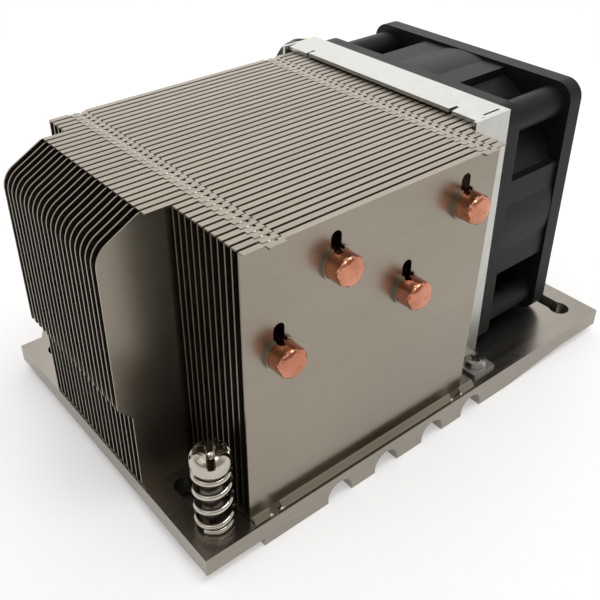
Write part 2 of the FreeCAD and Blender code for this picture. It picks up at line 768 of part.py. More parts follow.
frame = new_fan_body("FanFrame")
half_size = dim.fan_size / 2
rear_start = dim.fan_depth - dim.fan_rear_flange
flange_square = rounded_box(-half_size, -half_size, half_size, half_size, dim.fan_corner_radius)
barrel_radius = dim.fan_bore_radius + dim.fan_barrel_wall
pad(frame, "FrontFlange", draw(frame, "FrontSquare", "YZ_Plane", [flange_square]),
    dim.fan_front_flange)
between = rear_start - dim.fan_front_flange
pad(frame, "Barrel", draw(frame, "BarrelRing", "YZ_Plane", [Ring(0.0, 0.0, barrel_radius)],
                          level=dim.fan_front_flange), between)
pad(frame, "SidePanels", draw(frame, "PanelCross", "YZ_Plane",
                              [cross(half_size - dim.fan_panel_inset,
                                     dim.fan_panel_width / 2)],
                              level=dim.fan_front_flange), between)
hole_spots = [(a * hole_half, b * hole_half) for a in (-1, 1) for b in (-1, 1)]
posts = [Ring(u, v, dim.fan_post_radius) for u, v in hole_spots]
pad(frame, "CornerPosts", draw(frame, "PostRings", "YZ_Plane", posts,
                               level=dim.fan_front_flange), between)
pad(frame, "RearFlange", draw(frame, "RearSquare", "YZ_Plane", [flange_square],
                              level=rear_start), dim.fan_rear_flange)
cut_through(frame, "Bore", draw(frame, "BoreRing", "YZ_Plane",
                                [Ring(0.0, 0.0, dim.fan_bore_radius)]))
frame_holes = [Ring(u, v, dim.fan_hole_radius) for u, v in hole_spots]
cut_through(frame, "ScrewHoles", draw(frame, "ScrewHoleRings", "YZ_Plane", frame_holes))
tube_outer = dim.bearing_radius + dim.bearing_tube_wall
strut_back = dim.strut_recess + dim.strut_depth
pad(frame, "Struts", draw(frame, "StrutCross", "YZ_Plane",
                          [cross(dim.fan_bore_radius + dim.fan_barrel_wall / 2,
                                 dim.strut_width / 2)],
                          level=dim.strut_recess), dim.strut_depth)
pad(frame, "MotorPlate", draw(frame, "MotorPlateRing", "YZ_Plane",
                              [Ring(0.0, 0.0, dim.hub_radius)], level=dim.strut_recess),
    dim.strut_depth)
pad(frame, "BearingTube", draw(frame, "BearingTubeRings", "YZ_Plane",
                               [Ring(0.0, 0.0, tube_outer), Ring(0.0, 0.0, dim.bearing_radius)],
                               level=strut_back), dim.bearing_tube_end - strut_back)
lead_x = dim.fan_front_flange / 2
lead_z = half_size - dim.fan_corner_radius + 0.8
lead_seat = half_size - 1.0
pocket(frame, "LeadHole", draw(frame, "LeadHoleRing", "XZ_Plane",
                               [Ring(lead_x, lead_z, dim.lead_radius + dim.hole_gap)],
                               level=-lead_seat), 2.0)
keep(frame, "fan_frame")

# ---------------------------------------------------------------- fan rotor
# The rotor turns about the fan's axis: a cup with seven twisted blades, a steel yoke
# with a ring magnet inside it, and a shaft held by a clip below the front bearing.

impeller = new_fan_body("FanImpeller")
hub_end = dim.hub_start + dim.hub_length
hub_inner = dim.hub_radius - dim.hub_wall
face_inner = hub_end - dim.hub_face
boss_start = face_inner - 2.0
shaft_end = hub_end - 0.8
boss_radius = 2 * dim.shaft_radius
hub_profile = [
    (dim.hub_start, hub_inner), (dim.hub_start, dim.hub_radius),
    (hub_end - 0.8, dim.hub_radius), (hub_end, dim.hub_radius - 0.8), (hub_end, 0.0),
    (shaft_end, 0.0), (shaft_end, dim.shaft_radius), (boss_start, dim.shaft_radius),
    (boss_start, boss_radius), (face_inner, boss_radius), (face_inner, hub_inner),
]
revolve(impeller, "Hub", draw(impeller, "HubProfile", "XY_Plane", [hub_profile]), "X_Axis")


def blade_section(start, chord, sweep, sag):
    """A cambered blade section: axial in u, tangential in v."""
    near_side = []
    far_side = []
    for k in range(5):
        t = k / 4
        bow = 4 * t * (1 - t)
        u = start + chord * t
        v = sweep * (t - 0.5) + sag * bow
        half = dim.blade_thickness * (0.2 + 0.3 * bow)
        near_side.append((u, v - half))
        far_side.append((u, v + half))
    return near_side + far_side[::-1]


blade_start = dim.hub_start + 0.7
root_level = hub_inner + 0.1
tip_level = dim.fan_bore_radius + 1.3
root = draw(impeller, "BladeRoot", "XY_Plane",
            [blade_section(blade_start, dim.blade_chord, dim.blade_root_sweep,
                           dim.blade_root_camber)], level=root_level)
blade_tip = draw(impeller, "BladeTip", "XY_Plane",
                 [blade_section(blade_start + dim.blade_tip_inset,
                                dim.blade_chord - 2 * dim.blade_tip_inset,
                                dim.blade_tip_sweep, dim.blade_tip_camber)],
                 level=tip_level)
blade = impeller.newObject("PartDesign::AdditiveLoft", "Blade")
blade.Profile = root
blade.Sections = [blade_tip]
blade.Ruled = True
doc.recompute()
blades = impeller.newObject("PartDesign::PolarPattern", "Blades")
blades.Originals = [blade]
fan_line = [item for item in impeller.Origin.OriginFeatures if item.Role == "X_Axis"][0]
blades.Axis = (fan_line, [""])
blades.Angle = 360.0
blades.Occurrences = BLADES
impeller.Tip = blades
tips = impeller.newObject("PartDesign::Groove", "TipCircle")
tip_radius = dim.fan_bore_radius - dim.blade_tip_gap
tips.Profile = draw(impeller, "TipProfile", "XY_Plane",
                    [box(0.0, tip_radius, dim.fan_depth, 2 * tip_radius)])
tips.ReferenceAxis = (fan_line, [""])
tips.Angle = 360.0
impeller.Tip = tips
keep(impeller, "fan_impeller")

yoke = new_fan_body("RotorYoke")
yoke_outer = hub_inner - dim.hole_gap
yoke_inner = yoke_outer - dim.yoke_wall
yoke_back = face_inner - dim.hole_gap
yoke_profile = [
    (dim.hub_start + 0.9, yoke_inner), (dim.hub_start + 0.9, yoke_outer),
    (yoke_back, yoke_outer), (yoke_back, boss_radius + dim.hole_gap),
    (yoke_back - dim.yoke_wall, boss_radius + dim.hole_gap),
    (yoke_back - dim.yoke_wall, yoke_inner),
]
revolve(yoke, "Cup", draw(yoke, "CupProfile", "XY_Plane", [yoke_profile]), "X_Axis")
keep(yoke, "rotor_yoke")

magnet = new_fan_body("RotorMagnet")
magnet_outer = yoke_inner - dim.hole_gap
magnet_inner = magnet_outer - dim.magnet_wall
magnet_start = dim.hub_start + 1.9
pad(magnet, "Tube", draw(magnet, "TubeRings", "YZ_Plane",
                         [Ring(0.0, 0.0, magnet_outer), Ring(0.0, 0.0, magnet_inner)],
                         level=magnet_start), dim.magnet_length)
keep(magnet, "rotor_magnet")

front_bearing_x = strut_back + 3.6
rear_bearing_x = dim.bearing_tube_end - dim.bearing_length
clip_x = front_bearing_x - 0.9
shaft = new_fan_body("RotorShaft")
neck = dim.shaft_radius - 0.35
shaft_profile = [
    (clip_x - 0.8, 0.0), (clip_x - 0.8, dim.shaft_radius - 0.3),
    (clip_x - 0.5, dim.shaft_radius), (clip_x - 0.05, dim.shaft_radius),
    (clip_x - 0.05, neck), (clip_x + dim.clip_sheet + 0.05, neck),
    (clip_x + dim.clip_sheet + 0.05, dim.shaft_radius),
    (shaft_end, dim.shaft_radius), (shaft_end, 0.0),
]
revolve(shaft, "Spindle", draw(shaft, "SpindleProfile", "XY_Plane", [shaft_profile]), "X_Axis")
keep(shaft, "rotor_shaft")


def snap_clip(name, inner, outer, body, plane, level):
    """A flat open ring that snaps into a groove from one side."""
    lines = draw(body, name + "Rings", plane, [Ring(0.0, 0.0, outer), Ring(0.0, 0.0, inner)],
                 level=level)
    pad(body, name + "Sheet", lines, dim.clip_sheet)
    mouth_lines = draw(body, name + "Mouth", plane,
                       [box(-0.8 * inner, 0.0, 0.8 * inner, 1.1 * outer)],
                       level=level + dim.clip_sheet)
    pocket(body, name + "Gap", mouth_lines, dim.clip_sheet)


shaft_clip = new_fan_body("ShaftClip")
snap_clip("ShaftClip", neck + dim.hole_gap, 1.6 * dim.shaft_radius, shaft_clip, "YZ_Plane", clip_x)
keep(shaft_clip, "shaft_clip")

# ---------------------------------------------------------------- fan stator
# Fixed to the frame's bearing tube: two ball bearings, four wound poles and the board.

for label, station in (("front_bearing", front_bearing_x), ("rear_bearing", rear_bearing_x)):
    bearing = new_fan_body(label.title().replace("_", ""))
    outer = dim.bearing_radius - 0.02
    inner = dim.shaft_radius + dim.running_gap
    stop = station + dim.bearing_length
    groove_low, groove_high = inner + 0.6, outer - 0.6
    race_profile = [
        (station, inner), (station, groove_low), (station + 0.3, groove_low),
        (station + 0.3, groove_high), (station, groove_high), (station, outer),
        (stop, outer), (stop, inner),
    ]
    revolve(bearing, label.title().replace("_", "") + "Races",
            draw(bearing, label.title().replace("_", "") + "Profile", "XY_Plane", [race_profile]),
            "X_Axis")
    keep(bearing, label)

core = new_fan_body("StatorCore")
core_start = magnet_start + (dim.magnet_length - dim.stator_length) / 2
core_outer = magnet_inner - dim.air_gap
core_bore = tube_outer + dim.hole_gap
hub_ring = core_bore + 1.4
arm_half = 1.5
shoe_inner = core_outer - 1.4
pad(core, "Yoke", draw(core, "YokeRings", "YZ_Plane",
                       [Ring(0.0, 0.0, hub_ring), Ring(0.0, 0.0, core_bore)],
                       level=core_start), dim.stator_length)
arms = [
    box(hub_ring - 0.4, -arm_half, shoe_inner + 0.4, arm_half),
    box(-shoe_inner - 0.4, -arm_half, -hub_ring + 0.4, arm_half),
    box(-arm_half, hub_ring - 0.4, arm_half, shoe_inner + 0.4),
    box(-arm_half, -shoe_inner - 0.4, arm_half, -hub_ring + 0.4),
]
pad(core, "Arms", draw(core, "ArmLines", "YZ_Plane", arms, level=core_start), dim.stator_length)
pad(core, "Shoes", draw(core, "ShoeRings", "YZ_Plane",
                        [Ring(0.0, 0.0, core_outer), Ring(0.0, 0.0, shoe_inner)],
                        level=core_start), dim.stator_length)
gap_middle = (core_outer + shoe_inner) / 2 * math.sqrt(0.5)
gap_half = 2.0
gaps = []
for a in (-1, 1):
    for b in (-1, 1):
        u, v = a * gap_middle, b * gap_middle
        gaps.append([(u + gap_half, v), (u, v + gap_half), (u - gap_half, v), (u, v - gap_half)])
cut_through(core, "PoleGaps", draw(core, "PoleGapLines", "YZ_Plane", gaps))
keep(core, "stator_core")


def group(label, members):
    """Identical pieces that share one node as separate solids."""
    compound = doc.addObject("Part::Compound", label)
    compound.Links = members
    return keep(compound, label)


coils = []
coil_wall = 1.3
for k in range(4):
    coil = new_fan_body("Coil%d" % (k + 1))
    coil.Placement = Placement(coil.Placement.Base, Rotation(Vector(1, 0, 0), 90 * k))
    gap = dim.hole_gap
    wound = box(core_start - coil_wall, -arm_half - coil_wall,
                core_start + dim.stator_length + coil_wall, arm_half + coil_wall)
    neck_hole = box(core_start - gap, -arm_half - gap,
                    core_start + dim.stator_length + gap, arm_half + gap)
    lines = draw(coil, "Coil%dLines" % (k + 1), "XY_Plane", [wound, neck_hole],
                 level=hub_ring + 0.3)
    pad(coil, "Coil%dWinding" % (k + 1), lines, shoe_inner - hub_ring - 0.9)
    coils.append(coil)
group("stator_coils", coils)

board = new_fan_body("FanBoard")
board_radius = hub_inner - 0.7
pad(board, "Disc", draw(board, "DiscRings", "YZ_Plane",
                        [Ring(0.0, 0.0, board_radius), Ring(0.0, 0.0, core_bore)],
                        level=strut_back + 1.4), dim.board_thickness)
keep(board, "fan_circuit_board")

# ---------------------------------------------------------------- screws
# Pan heads with a cross recess.  A screw is drawn along its own axis, head up.


def pan_screw(name, radius, length, head, x, y, z, turn=None, recess=True):
    body = new_body(name, x, y, z)
    if turn is not None:
        body.Placement = Placement(body.Placement.Base, turn)
    height = 0.6 * head
    profile = [
        (0.0, -length), (radius - 0.3, -length), (radius, 0.4 - length), (radius, 0.0),
        (head, 0.0), (head, 0.4 * height), (0.8 * head, 0.85 * height), (0.45 * head, height),
        (0.0, height),
    ]
    revolve(body, name + "Turned", draw(body, name + "Profile", "XZ_Plane", [profile]), "Z_Axis")
    if recess:
        arms = draw(body, name + "Recess", "XY_Plane", [cross(0.5 * head, 0.13 * head)],
                    level=height + 0.1)
        pocket(body, name + "Cross", arms, 0.5 * height + 0.1)
    return body


foot_screws = [
    pan_screw("FootScrew%d" % (k + 1), dim.foot_screw_radius,
              foot_screw_length + sheet_t - 0.4, dim.foot_screw_head, foot_screw_x, y,
              base_top + sheet_t)
    for k, y in enumerate(foot_screws_y)
]
group("bracket_screws", foot_screws)

fan_screws = []
towards_fins = Rotation(Vector(0, 1, 0), -90)
for a in (-1, 1):
    for b in (-1, 1):
        fan_screws.append(
            pan_screw("FanScrew%d" % (len(fan_screws) + 1), dim.fan_screw_radius,
                      2.4 * dim.fan_front_flange, dim.fan_screw_head,
                      dim.fan_station - sheet_t, dim.fan_axis_y + a * hole_half,
                      fan_axis_z + b * hole_half, towards_fins, recess=False))
group("fan_screws", fan_screws)

# The captive screw stands in the near left keyhole.  Its spring lifts it until the clip
# in its groove meets the plate's underside.

captive = new_body("CaptiveScrew", bolt_x, bolt_y, base_top)
captive.Placement = Placement(captive.Placement.Base, Rotation(Vector(0, 0, 1), 52))
clip_top = -dim.plate_thickness - dim.hole_gap
clip_bottom = clip_top - dim.clip_sheet
groove_radius = dim.captive_thread_radius - 0.4
tip_level_z = 0.25 - base_top
head_r = dim.captive_head_radius
head_z = dim.spring_length
head_top = head_z + dim.captive_head_height
dome = dim.captive_dome_radius
captive_profile = [
    (0.0, tip_level_z), (dim.captive_thread_radius - 0.4, tip_level_z),
    (dim.captive_thread_radius, tip_level_z + 0.4),
    (dim.captive_thread_radius, clip_bottom - 0.05), (groove_radius, clip_bottom - 0.05),
    (groove_radius, clip_top + 0.02), (dim.captive_thread_radius, clip_top + 0.02),
    (dim.captive_thread_radius, clip_top + 0.3), (dim.captive_shank_radius, clip_top + 0.7),
    (dim.captive_shank_radius, head_z), (head_r - 0.4, head_z), (head_r, head_z + 0.4),
    (head_r, head_top - dome), (head_r - dome, head_top), (0.0, head_top),
]
crown = {len(captive_profile) - 3: (head_r - dome, head_top - dome)}
revolve(captive, "Turned", draw(captive, "TurnedProfile", "XZ_Plane",
                                [Arched(captive_profile, crown)]), "Z_Axis")
pocket(captive, "CrossRecess", draw(captive, "RecessLines", "XY_Plane",
                                    [cross(0.8 * head_r, 0.16 * head_r)],
                                    level=head_top + 0.1), 0.55 * dim.captive_head_height)
keep(captive, "captive_screw")

clip = new_body("ScrewClip", bolt_x, bolt_y, base_top)
snap_clip("ScrewClip", groove_radius + dim.hole_gap, dim.clip_radius, clip, "XY_Plane",
          clip_bottom)
keep(clip, "screw_clip")


def coil_spring(label, x, y, z):
    """A compression spring with one closed turn at each end, of six-sided wire."""
    wire = float(dim.spring_wire)
    mean = float(dim.spring_radius) - wire / 2
    closed = 1.05 * wire
    open_turns = float(dim.spring_turns) - 2
    open_rise = float(dim.spring_length) - wire - 2 * closed
    spans = [(closed, closed), (open_rise / open_turns, open_rise), (closed, closed)]
    level = wire / 2
    turned = 0.0
    edges = []
    for pitch, rise in spans:
        helix = Part.makeHelix(pitch, rise, mean)
        helix.rotate(Vector(0, 0, 0), Vector(0, 0, 1), 360 * turned)
        helix.translate(Vector(0, 0, level))
        edges += helix.Edges
        level += rise
        turned += rise / pitch
    spine = Part.Wire(edges)
    corners = []
    for k in range(7):
        angle = math.radians(60 * k + 30)
        corners.append(Vector(mean + wire / 2 * math.cos(angle), 0,
                              wire / 2 + wire / 2 * math.sin(angle)))
    section = Part.Wire(Part.makePolygon(corners).Edges)
    piece = doc.addObject("Part::Feature", label)
    piece.Shape = spine.makePipeShell([section], True, True)
    place(piece, x, y, z)
    keep(piece, label)


coil_spring("screw_spring", bolt_x, bolt_y, base_top)

# ---------------------------------------------------------------- fan lead
# The lead leaves the side of the fan's front flange, turns forward outside the bracket,
# hangs down the far side and lies in a small coil on the surface behind the part, with
# its plug beside the coil.  Points from the base plate's near left corner; the first one
# is the lead's seat in the frame.

seat = (float(dim.fan_station + lead_x), float(dim.fan_axis_y + lead_seat),
        float(fan_axis_z + lead_z))
floor = float(dim.lead_radius) + 0.02
LEAD_FALL = [
    seat,
    (seat[0], seat[1] + 5.4, seat[2]),
    (78.6, 73.7, 63.5),
    (74.0, 74.4, 57.2),
    (73.4, 77.5, 44.2),
    (75.5, 84.5, 26.2),
    (74.5, 89.5, 13.5),
    (69.0, 92.5, 7.0),
    (61.5, 95.0, 4.6),
    (55.5, 95.6, 2.0),
    (51.0, 96.2, floor),
]
COIL_MIDDLE = (57.0, 103.0)
COIL_START, COIL_STEP, COIL_POINTS = 210, 30, 23
coil_turns = []
for k in range(COIL_POINTS):
    angle = math.radians(COIL_START - COIL_STEP * k)
    out = 9.6 + 2.45 * k * COIL_STEP / 360
    coil_turns.append((COIL_MIDDLE[0] + out * math.cos(angle),
                       COIL_MIDDLE[1] + out * math.sin(angle), floor))
LEAD_ROUTE = LEAD_FALL + coil_turns + [
    (50.5, 89.0, floor),
    (45.5, 91.0, floor),
    (41.0, 92.0, floor),
]


def rounded_path(points):
    """Straight runs joined by arcs, each arc as large as its two runs allow."""
    spots = [Vector(*point) for point in points]
    edges = []
    radii = []
    here = spots[0]
    for before, corner, after in zip(spots, spots[1:], spots[2:]):
        back = (before - corner)
        ahead = (after - corner)
        share = 0.45 * min(back.Length, ahead.Length)
        back.normalize()
        ahead.normalize()
        turn = math.pi - back.getAngle(ahead)
        radius = share / math.tan(turn / 2)
        start = corner + back * share
        stop = corner + ahead * share
        inward = (back + ahead).normalize()
        middle = corner + inward * (radius / math.cos(turn / 2) - radius)
        edges.append(Part.LineSegment(here, start).toShape())
        edges.append(Part.Arc(start, middle, stop).toShape())
        radii.append(radius)
        here = stop
    edges.append(Part.LineSegment(here, spots[-1]).toShape())
    return Part.Wire(edges), radii


lead_path, lead_radii = rounded_path(LEAD_ROUTE)
lead_ring = Part.makeCircle(float(dim.lead_radius), Vector(*LEAD_ROUTE[0]), Vector(0, 1, 0))
lead = doc.addObject("Part::Feature", "FanLead")
lead.Shape = lead_path.makePipeShell([Part.Wire(lead_ring)], True, False)
place(lead)
keep(lead, "fan_lead")
lead_section = math.pi * float(dim.lead_radius) ** 2
print("lead length %.1f, arc radii %s" % (lead_path.Length,
                                          ", ".join("%.1f" % r for r in lead_radii)))
print("lead volume %.1f, section times length %.1f" % (lead.Shape.Volume,
                                                       lead_section * lead_path.Length))

plug_heading = Vector(*LEAD_ROUTE[-1]) - Vector(*LEAD_ROUTE[-2])
plug = doc.addObject("PartDesign::Body", "LeadPlug")
plug_angle = math.degrees(math.atan2(plug_heading.y, plug_heading.x))
place(plug, LEAD_ROUTE[-1][0], LEAD_ROUTE[-1][1], 0.02)
plug.Placement = Placement(plug.Placement.Base, Rotation(Vector(0, 0, 1), plug_angle))
pad(plug, "Shell", draw(plug, "ShellOutline", "XY_Plane",
                        [box(0.0, -dim.plug_width / 2, dim.plug_length, dim.plug_width / 2)]),
    dim.plug_height)
sockets = [box((k - 1.5) * dim.pin_pitch - 0.6, dim.plug_height / 2 - 0.6,
               (k - 1.5) * dim.pin_pitch + 0.6, dim.plug_height / 2 + 0.6) for k in range(4)]
pocket(plug, "Sockets", draw(plug, "SocketLines", "YZ_Plane", sockets, level=dim.plug_length),
       0.6 * dim.plug_length)
keep(plug, "lead_plug")

# ---------------------------------------------------------------- checks and export

doc.recompute()
for item in doc.Objects:
    if "Invalid" in item.State or "Error" in item.State:
        raise RuntimeError("%s did not build: %s" % (item.Label, item.State))
os.makedirs("parts", exist_ok=True)
for piece in pieces:
    if piece.Shape.isNull() or not piece.Shape.isValid():
        raise RuntimeError("%s has no valid shape" % piece.Label)
for piece in pieces:
    piece.Shape.exportStep("parts/%s.step" % piece.Label)
print("%d pieces, %d solids" % (len(pieces), sum(len(p.Shape.Solids) for p in pieces)))
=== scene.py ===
# %% [markdown]
# # A 2U server heatsink with its own fan
# The real part is a stack of thin folded fins on a grooved base plate, four copper heat
# pipes, a sheet bracket with a 60 mm fan, and a sprung captive screw. The metal work is
# already modelled in CAD and arrives here as a fixed frame. This lesson gives every
# surface its finish, and models the small shapes that are easier to grow than to draw:
# the spring, the zipper's dimples, the solder and the fan's wires.
# Everything is in metres, in the frame's own axes: X along the fins towards the fan, Y
# across them, Z up.

# %% Load the frame
import math

import bmesh
import bpy
from mathutils import Matrix, Vector


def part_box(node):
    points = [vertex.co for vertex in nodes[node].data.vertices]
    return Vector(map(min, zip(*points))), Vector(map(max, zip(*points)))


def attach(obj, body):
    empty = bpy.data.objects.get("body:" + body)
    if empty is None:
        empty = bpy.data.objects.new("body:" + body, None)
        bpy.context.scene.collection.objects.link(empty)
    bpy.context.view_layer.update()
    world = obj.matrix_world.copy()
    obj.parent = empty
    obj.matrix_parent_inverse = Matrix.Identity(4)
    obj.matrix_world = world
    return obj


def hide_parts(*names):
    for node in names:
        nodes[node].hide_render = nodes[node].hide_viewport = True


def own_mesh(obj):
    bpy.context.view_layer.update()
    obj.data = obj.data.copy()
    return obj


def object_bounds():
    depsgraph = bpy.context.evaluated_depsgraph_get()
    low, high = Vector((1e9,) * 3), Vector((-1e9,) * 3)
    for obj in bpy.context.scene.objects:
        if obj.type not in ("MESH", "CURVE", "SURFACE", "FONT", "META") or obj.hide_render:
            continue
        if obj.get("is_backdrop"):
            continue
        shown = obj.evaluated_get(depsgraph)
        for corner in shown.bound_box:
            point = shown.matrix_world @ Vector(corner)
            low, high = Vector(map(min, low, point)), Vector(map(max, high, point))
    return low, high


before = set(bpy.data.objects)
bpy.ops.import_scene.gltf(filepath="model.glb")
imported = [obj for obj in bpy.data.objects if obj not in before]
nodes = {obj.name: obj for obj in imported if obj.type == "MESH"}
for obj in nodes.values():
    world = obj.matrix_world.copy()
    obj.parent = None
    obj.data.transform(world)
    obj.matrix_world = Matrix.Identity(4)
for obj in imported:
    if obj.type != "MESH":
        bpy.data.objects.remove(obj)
cad_box = [list(corner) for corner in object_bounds()]
scene = bpy.context.scene
scene.view_settings.view_transform = "Standard"
print("frame:", len(nodes), "pieces, box", cad_box)

# %% [markdown]
# ## Camera
# A product camera stands high at the near left corner, a little over twenty centimetres
# away, so the near fin, the stack's top and the nose all show. Its lens is set by the
# sensor width and focal length, and a small shift frames the part without turning it.

# %% Set up the camera
camera_data = bpy.data.cameras.new("camera")
camera_data.lens = 50.188
camera_data.sensor_width = 36.0
camera_data.shift_x = 0.04008
camera_data.shift_y = -0.07303
camera_data.clip_start = 0.01
camera_data.clip_end = 10.0
camera = bpy.data.objects.new("camera", camera_data)
camera.location = (-0.107807, -0.126610, 0.133562)
camera.rotation_euler = [math.radians(angle) for angle in (57.302, 0.724, -38.353)]
scene.collection.objects.link(camera)
scene.camera = camera
print("camera at", tuple(camera.location))

# %% [markdown]
# ## The route of the fan's lead
# A fan lead is limp: it turns out of the frame's side, drops behind the stack and lies in
# a small put-away coil on the table, with its plug beside it. The route is one smooth
# spline through a few control points. It keeps within a few millimetres of the plain tube
# in the frame, and hugs the bracket's hood more closely than that tube does. A NURBS curve
# is the right tool, because it rounds every corner by itself. Its order has to be set
# after its points are added. The coil rises a little where the tie passes under it.

# %% Lay the lead's route
MM = 0.001
CORNER = Vector((-58.8, -41.75, 0.0))
LEAD_RADIUS = 1.1
LEAD_FALL = [
    (86.4, 68.35, 63.8), (86.5, 70.4, 64.2), (84.4, 73.1, 65.2), (80.4, 73.7, 65.4),
    (76.8, 72.5, 64.6), (73.9, 71.6, 61.8), (73.3, 72.0, 56.5), (73.5, 77.5, 44.2),
    (75.5, 84.5, 26.2), (74.5, 89.5, 13.5), (69.0, 92.5, 7.0), (61.5, 95.0, 4.6),
    (55.5, 95.6, 2.0), (51.0, 96.2, 1.12),
]
COIL_MIDDLE = (57.0, 103.0)
COIL_START, COIL_STEP, COIL_POINTS = 210, 30, 23
COIL_INNER, COIL_PITCH, COIL_LEVEL = 9.6, 2.45, 1.12
LEAD_END = [(50.5, 89.0, 1.12), (45.5, 91.0, 1.12), (41.0, 92.0, 1.12)]
TIE_ANGLE, TIE_LIFT = 20, 0.45


def to_frame(point):
    """A point in millimetres from the base plate's corner, as metres in the frame."""
    return (Vector(point) + CORNER) * MM


coil = []
for k in range(COIL_POINTS):
    turned = COIL_START - COIL_STEP * k
    out = COIL_INNER + COIL_PITCH * k * COIL_STEP / 360
    near_tie = abs((turned - TIE_ANGLE + 180) % 360 - 180) < COIL_STEP
    coil.append((COIL_MIDDLE[0] + out * math.cos(math.radians(turned)),
                 COIL_MIDDLE[1] + out * math.sin(math.radians(turned)),
                 COIL_LEVEL + (TIE_LIFT if near_tie else 0.0)))
route = bpy.data.curves.new("lead_route", "CURVE")
route.dimensions = "3D"
spline = route.splines.new("NURBS")
controls = LEAD_FALL + coil + LEAD_END
spline.points.add(len(controls) - 1)
for point, control in zip(spline.points, controls):
    point.co = (*to_frame(control), 1.0)
spline.order_u = 3
spline.use_endpoint_u = True
spline.resolution_u = 8
carrier = bpy.data.objects.new("lead_route", route)
line = bpy.data.meshes.new_from_object(carrier)
lead_path = [vertex.co.copy() for vertex in line.vertices]
lead_length = sum((b - a).length for a, b in zip(lead_path, lead_path[1:]))
bpy.data.meshes.remove(line)
bpy.data.objects.remove(carrier)
print("lead: %.1f mm along %d points" % (lead_length / MM, len(lead_path)))

# %% [markdown]
# ## Tubes that follow the route
# Wires and sleeving are tubes swept along the route. A curve's bevel could make one tube,
# but four wires that twist round each other need their own sweep. Carrying one sideways
# direction from point to point, without letting it spin, keeps the tubes from twisting on
# their own, so the lay of the wires is only what is asked for.

# %% Sweep a tube
def sideways(path):
    """Two directions square to the path at each point, carried along without spin."""
    pairs = []
    across = Vector((0, 0, 1))
    for i in range(len(path)):
        ahead = (path[min(i + 1, len(path) - 1)] - path[max(i - 1, 0)]).normalized()
        across = (across - ahead * across.dot(ahead)).normalized()
        pairs.append((across, ahead.cross(across)))
    return pairs


def stretch_of(path, start, stop):
    """The part of a path between two distances along it."""
    kept, gone = [], 0.0
    for a, b in zip(path, path[1:]):
        step = (b - a).length
        if gone + step > start and not kept:
            kept.append(a.lerp(b, max(0.0, start - gone) / step))
        if kept and gone + step < stop:
            kept.append(b.copy())
        elif kept:
            kept.append(a.lerp(b, (stop - gone) / step))
            return kept
        gone += step
    return kept


def tube_faces(rings, sides, first=0):
    """Faces between rings of points that follow each other, with both ends shut."""
    faces = []
    for row in range(rings - 1):
        for k in range(sides):
            a = first + row * sides + k
            b = first + row * sides + (k + 1) % sides
            faces.append((a, b, b + sides, a + sides))
    last = first + (rings - 1) * sides
    faces.append(tuple(range(first, first + sides))[::-1])
    faces.append(tuple(range(last, last + sides)))
    return faces


def sweep(path, radius, sides, offset=0.0, lay=1.0, phase=0.0):
    """Points and faces of a closed tube that winds round a path, one turn in each lay."""
    points, along = [], 0.0
    for i, (middle, (up, side)) in enumerate(zip(path, sideways(path))):
        along += (middle - path[i - 1]).length if i else 0.0
        angle = phase + 2 * math.pi * along / lay
        centre = middle + (up * math.cos(angle) + side * math.sin(angle)) * offset
        for k in range(sides):
            turn = 2 * math.pi * k / sides
            points.append(centre + (up * math.cos(turn) + side * math.sin(turn)) * radius)
    return points, tube_faces(len(path), sides)


def new_piece(name, points, faces, finish, smooth=True):
    """A mesh object at the origin, with one finish and its faces turned outwards."""
    mesh = bpy.data.meshes.new(name)
    mesh.from_pydata([tuple(p) for p in points], [], faces)
    shell = bmesh.new()
    shell.from_mesh(mesh)
    bmesh.ops.recalc_face_normals(shell, faces=shell.faces)
    shell.to_mesh(mesh)
    shell.free()
    mesh.materials.append(finish)
    mesh.shade_smooth() if smooth else mesh.shade_flat()
    piece = bpy.data.objects.new(name, mesh)
    scene.collection.objects.link(piece)
    return piece


print("sweep and new_piece are ready")

# %% [markdown]
# ## Shader sums
# A finish is a sum of a few patterns: clouds, grain, specks. Writing each Math node by
# hand hides that, so one small class wraps a socket and lets Python's own operators add
# the nodes. The same class serves node trees for shapes, because they have the same Math
# node.

# %% A socket that can be used in a sum
class Signal:
    """A socket of a node tree that takes part in a sum: signal * 2 + 1 adds its nodes."""

    def __init__(self, tree, socket=None):
        self.tree = tree
        self.socket = socket

    def add(self, kind, settings=(), inputs=(), output=0):
        """Any node: its settings go in first, then its sockets' values or links."""
        node = self.tree.nodes.new(kind)
        for name, value in dict(settings).items():
            if name == "stops":
                self.fill_ramp(node.color_ramp, value)
            else:
                setattr(node, name, value)
        for name, value in dict(inputs).items():
            if isinstance(value, Signal):
                self.tree.links.new(value.socket, node.inputs[name])
            else:
                node.inputs[name].default_value = value
        return Signal(self.tree, node.outputs[output])

    @staticmethod
    def fill_ramp(ramp, stops):
        """Flat bands of colour, one from each stop."""
        ramp.interpolation = "CONSTANT"
        while len(ramp.elements) < len(stops):
            ramp.elements.new(1.0)
        for element, (position, colour) in zip(ramp.elements, stops):
            element.position, element.color = position, colour

    def math(self, operation, *values):
        return self.add("ShaderNodeMath", {"operation": operation}, enumerate(values))

    def __add__(self, other):
        return self.math("ADD", self, other)

    def __sub__(self, other):
        return self.math("SUBTRACT", self, other)

    def __rsub__(self, other):
        return self.math("SUBTRACT", other, self)

    def __mul__(self, other):
        return self.math("MULTIPLY", self, other)

    def __truediv__(self, other):
        return self.math("DIVIDE", self, other)

    __radd__, __rmul__ = __add__, __mul__

    def floor(self):
        return self.math("FLOOR", self)

    def split(self):
        """The X, Y and Z of a vector."""
        node = self.add("ShaderNodeSeparateXYZ", {}, {"Vector": self}).socket.node
        return [Signal(self.tree, socket) for socket in node.outputs]

    def step(self, low, high):
        """0 below low, 1 above high and a smooth rise between; high may be the lower."""
        return self.add("ShaderNodeMapRange", {"interpolation_type": "SMOOTHSTEP"},
                        {"Value": self, "From Min": low, "From Max": high})


print("signals can be added, multiplied and split")

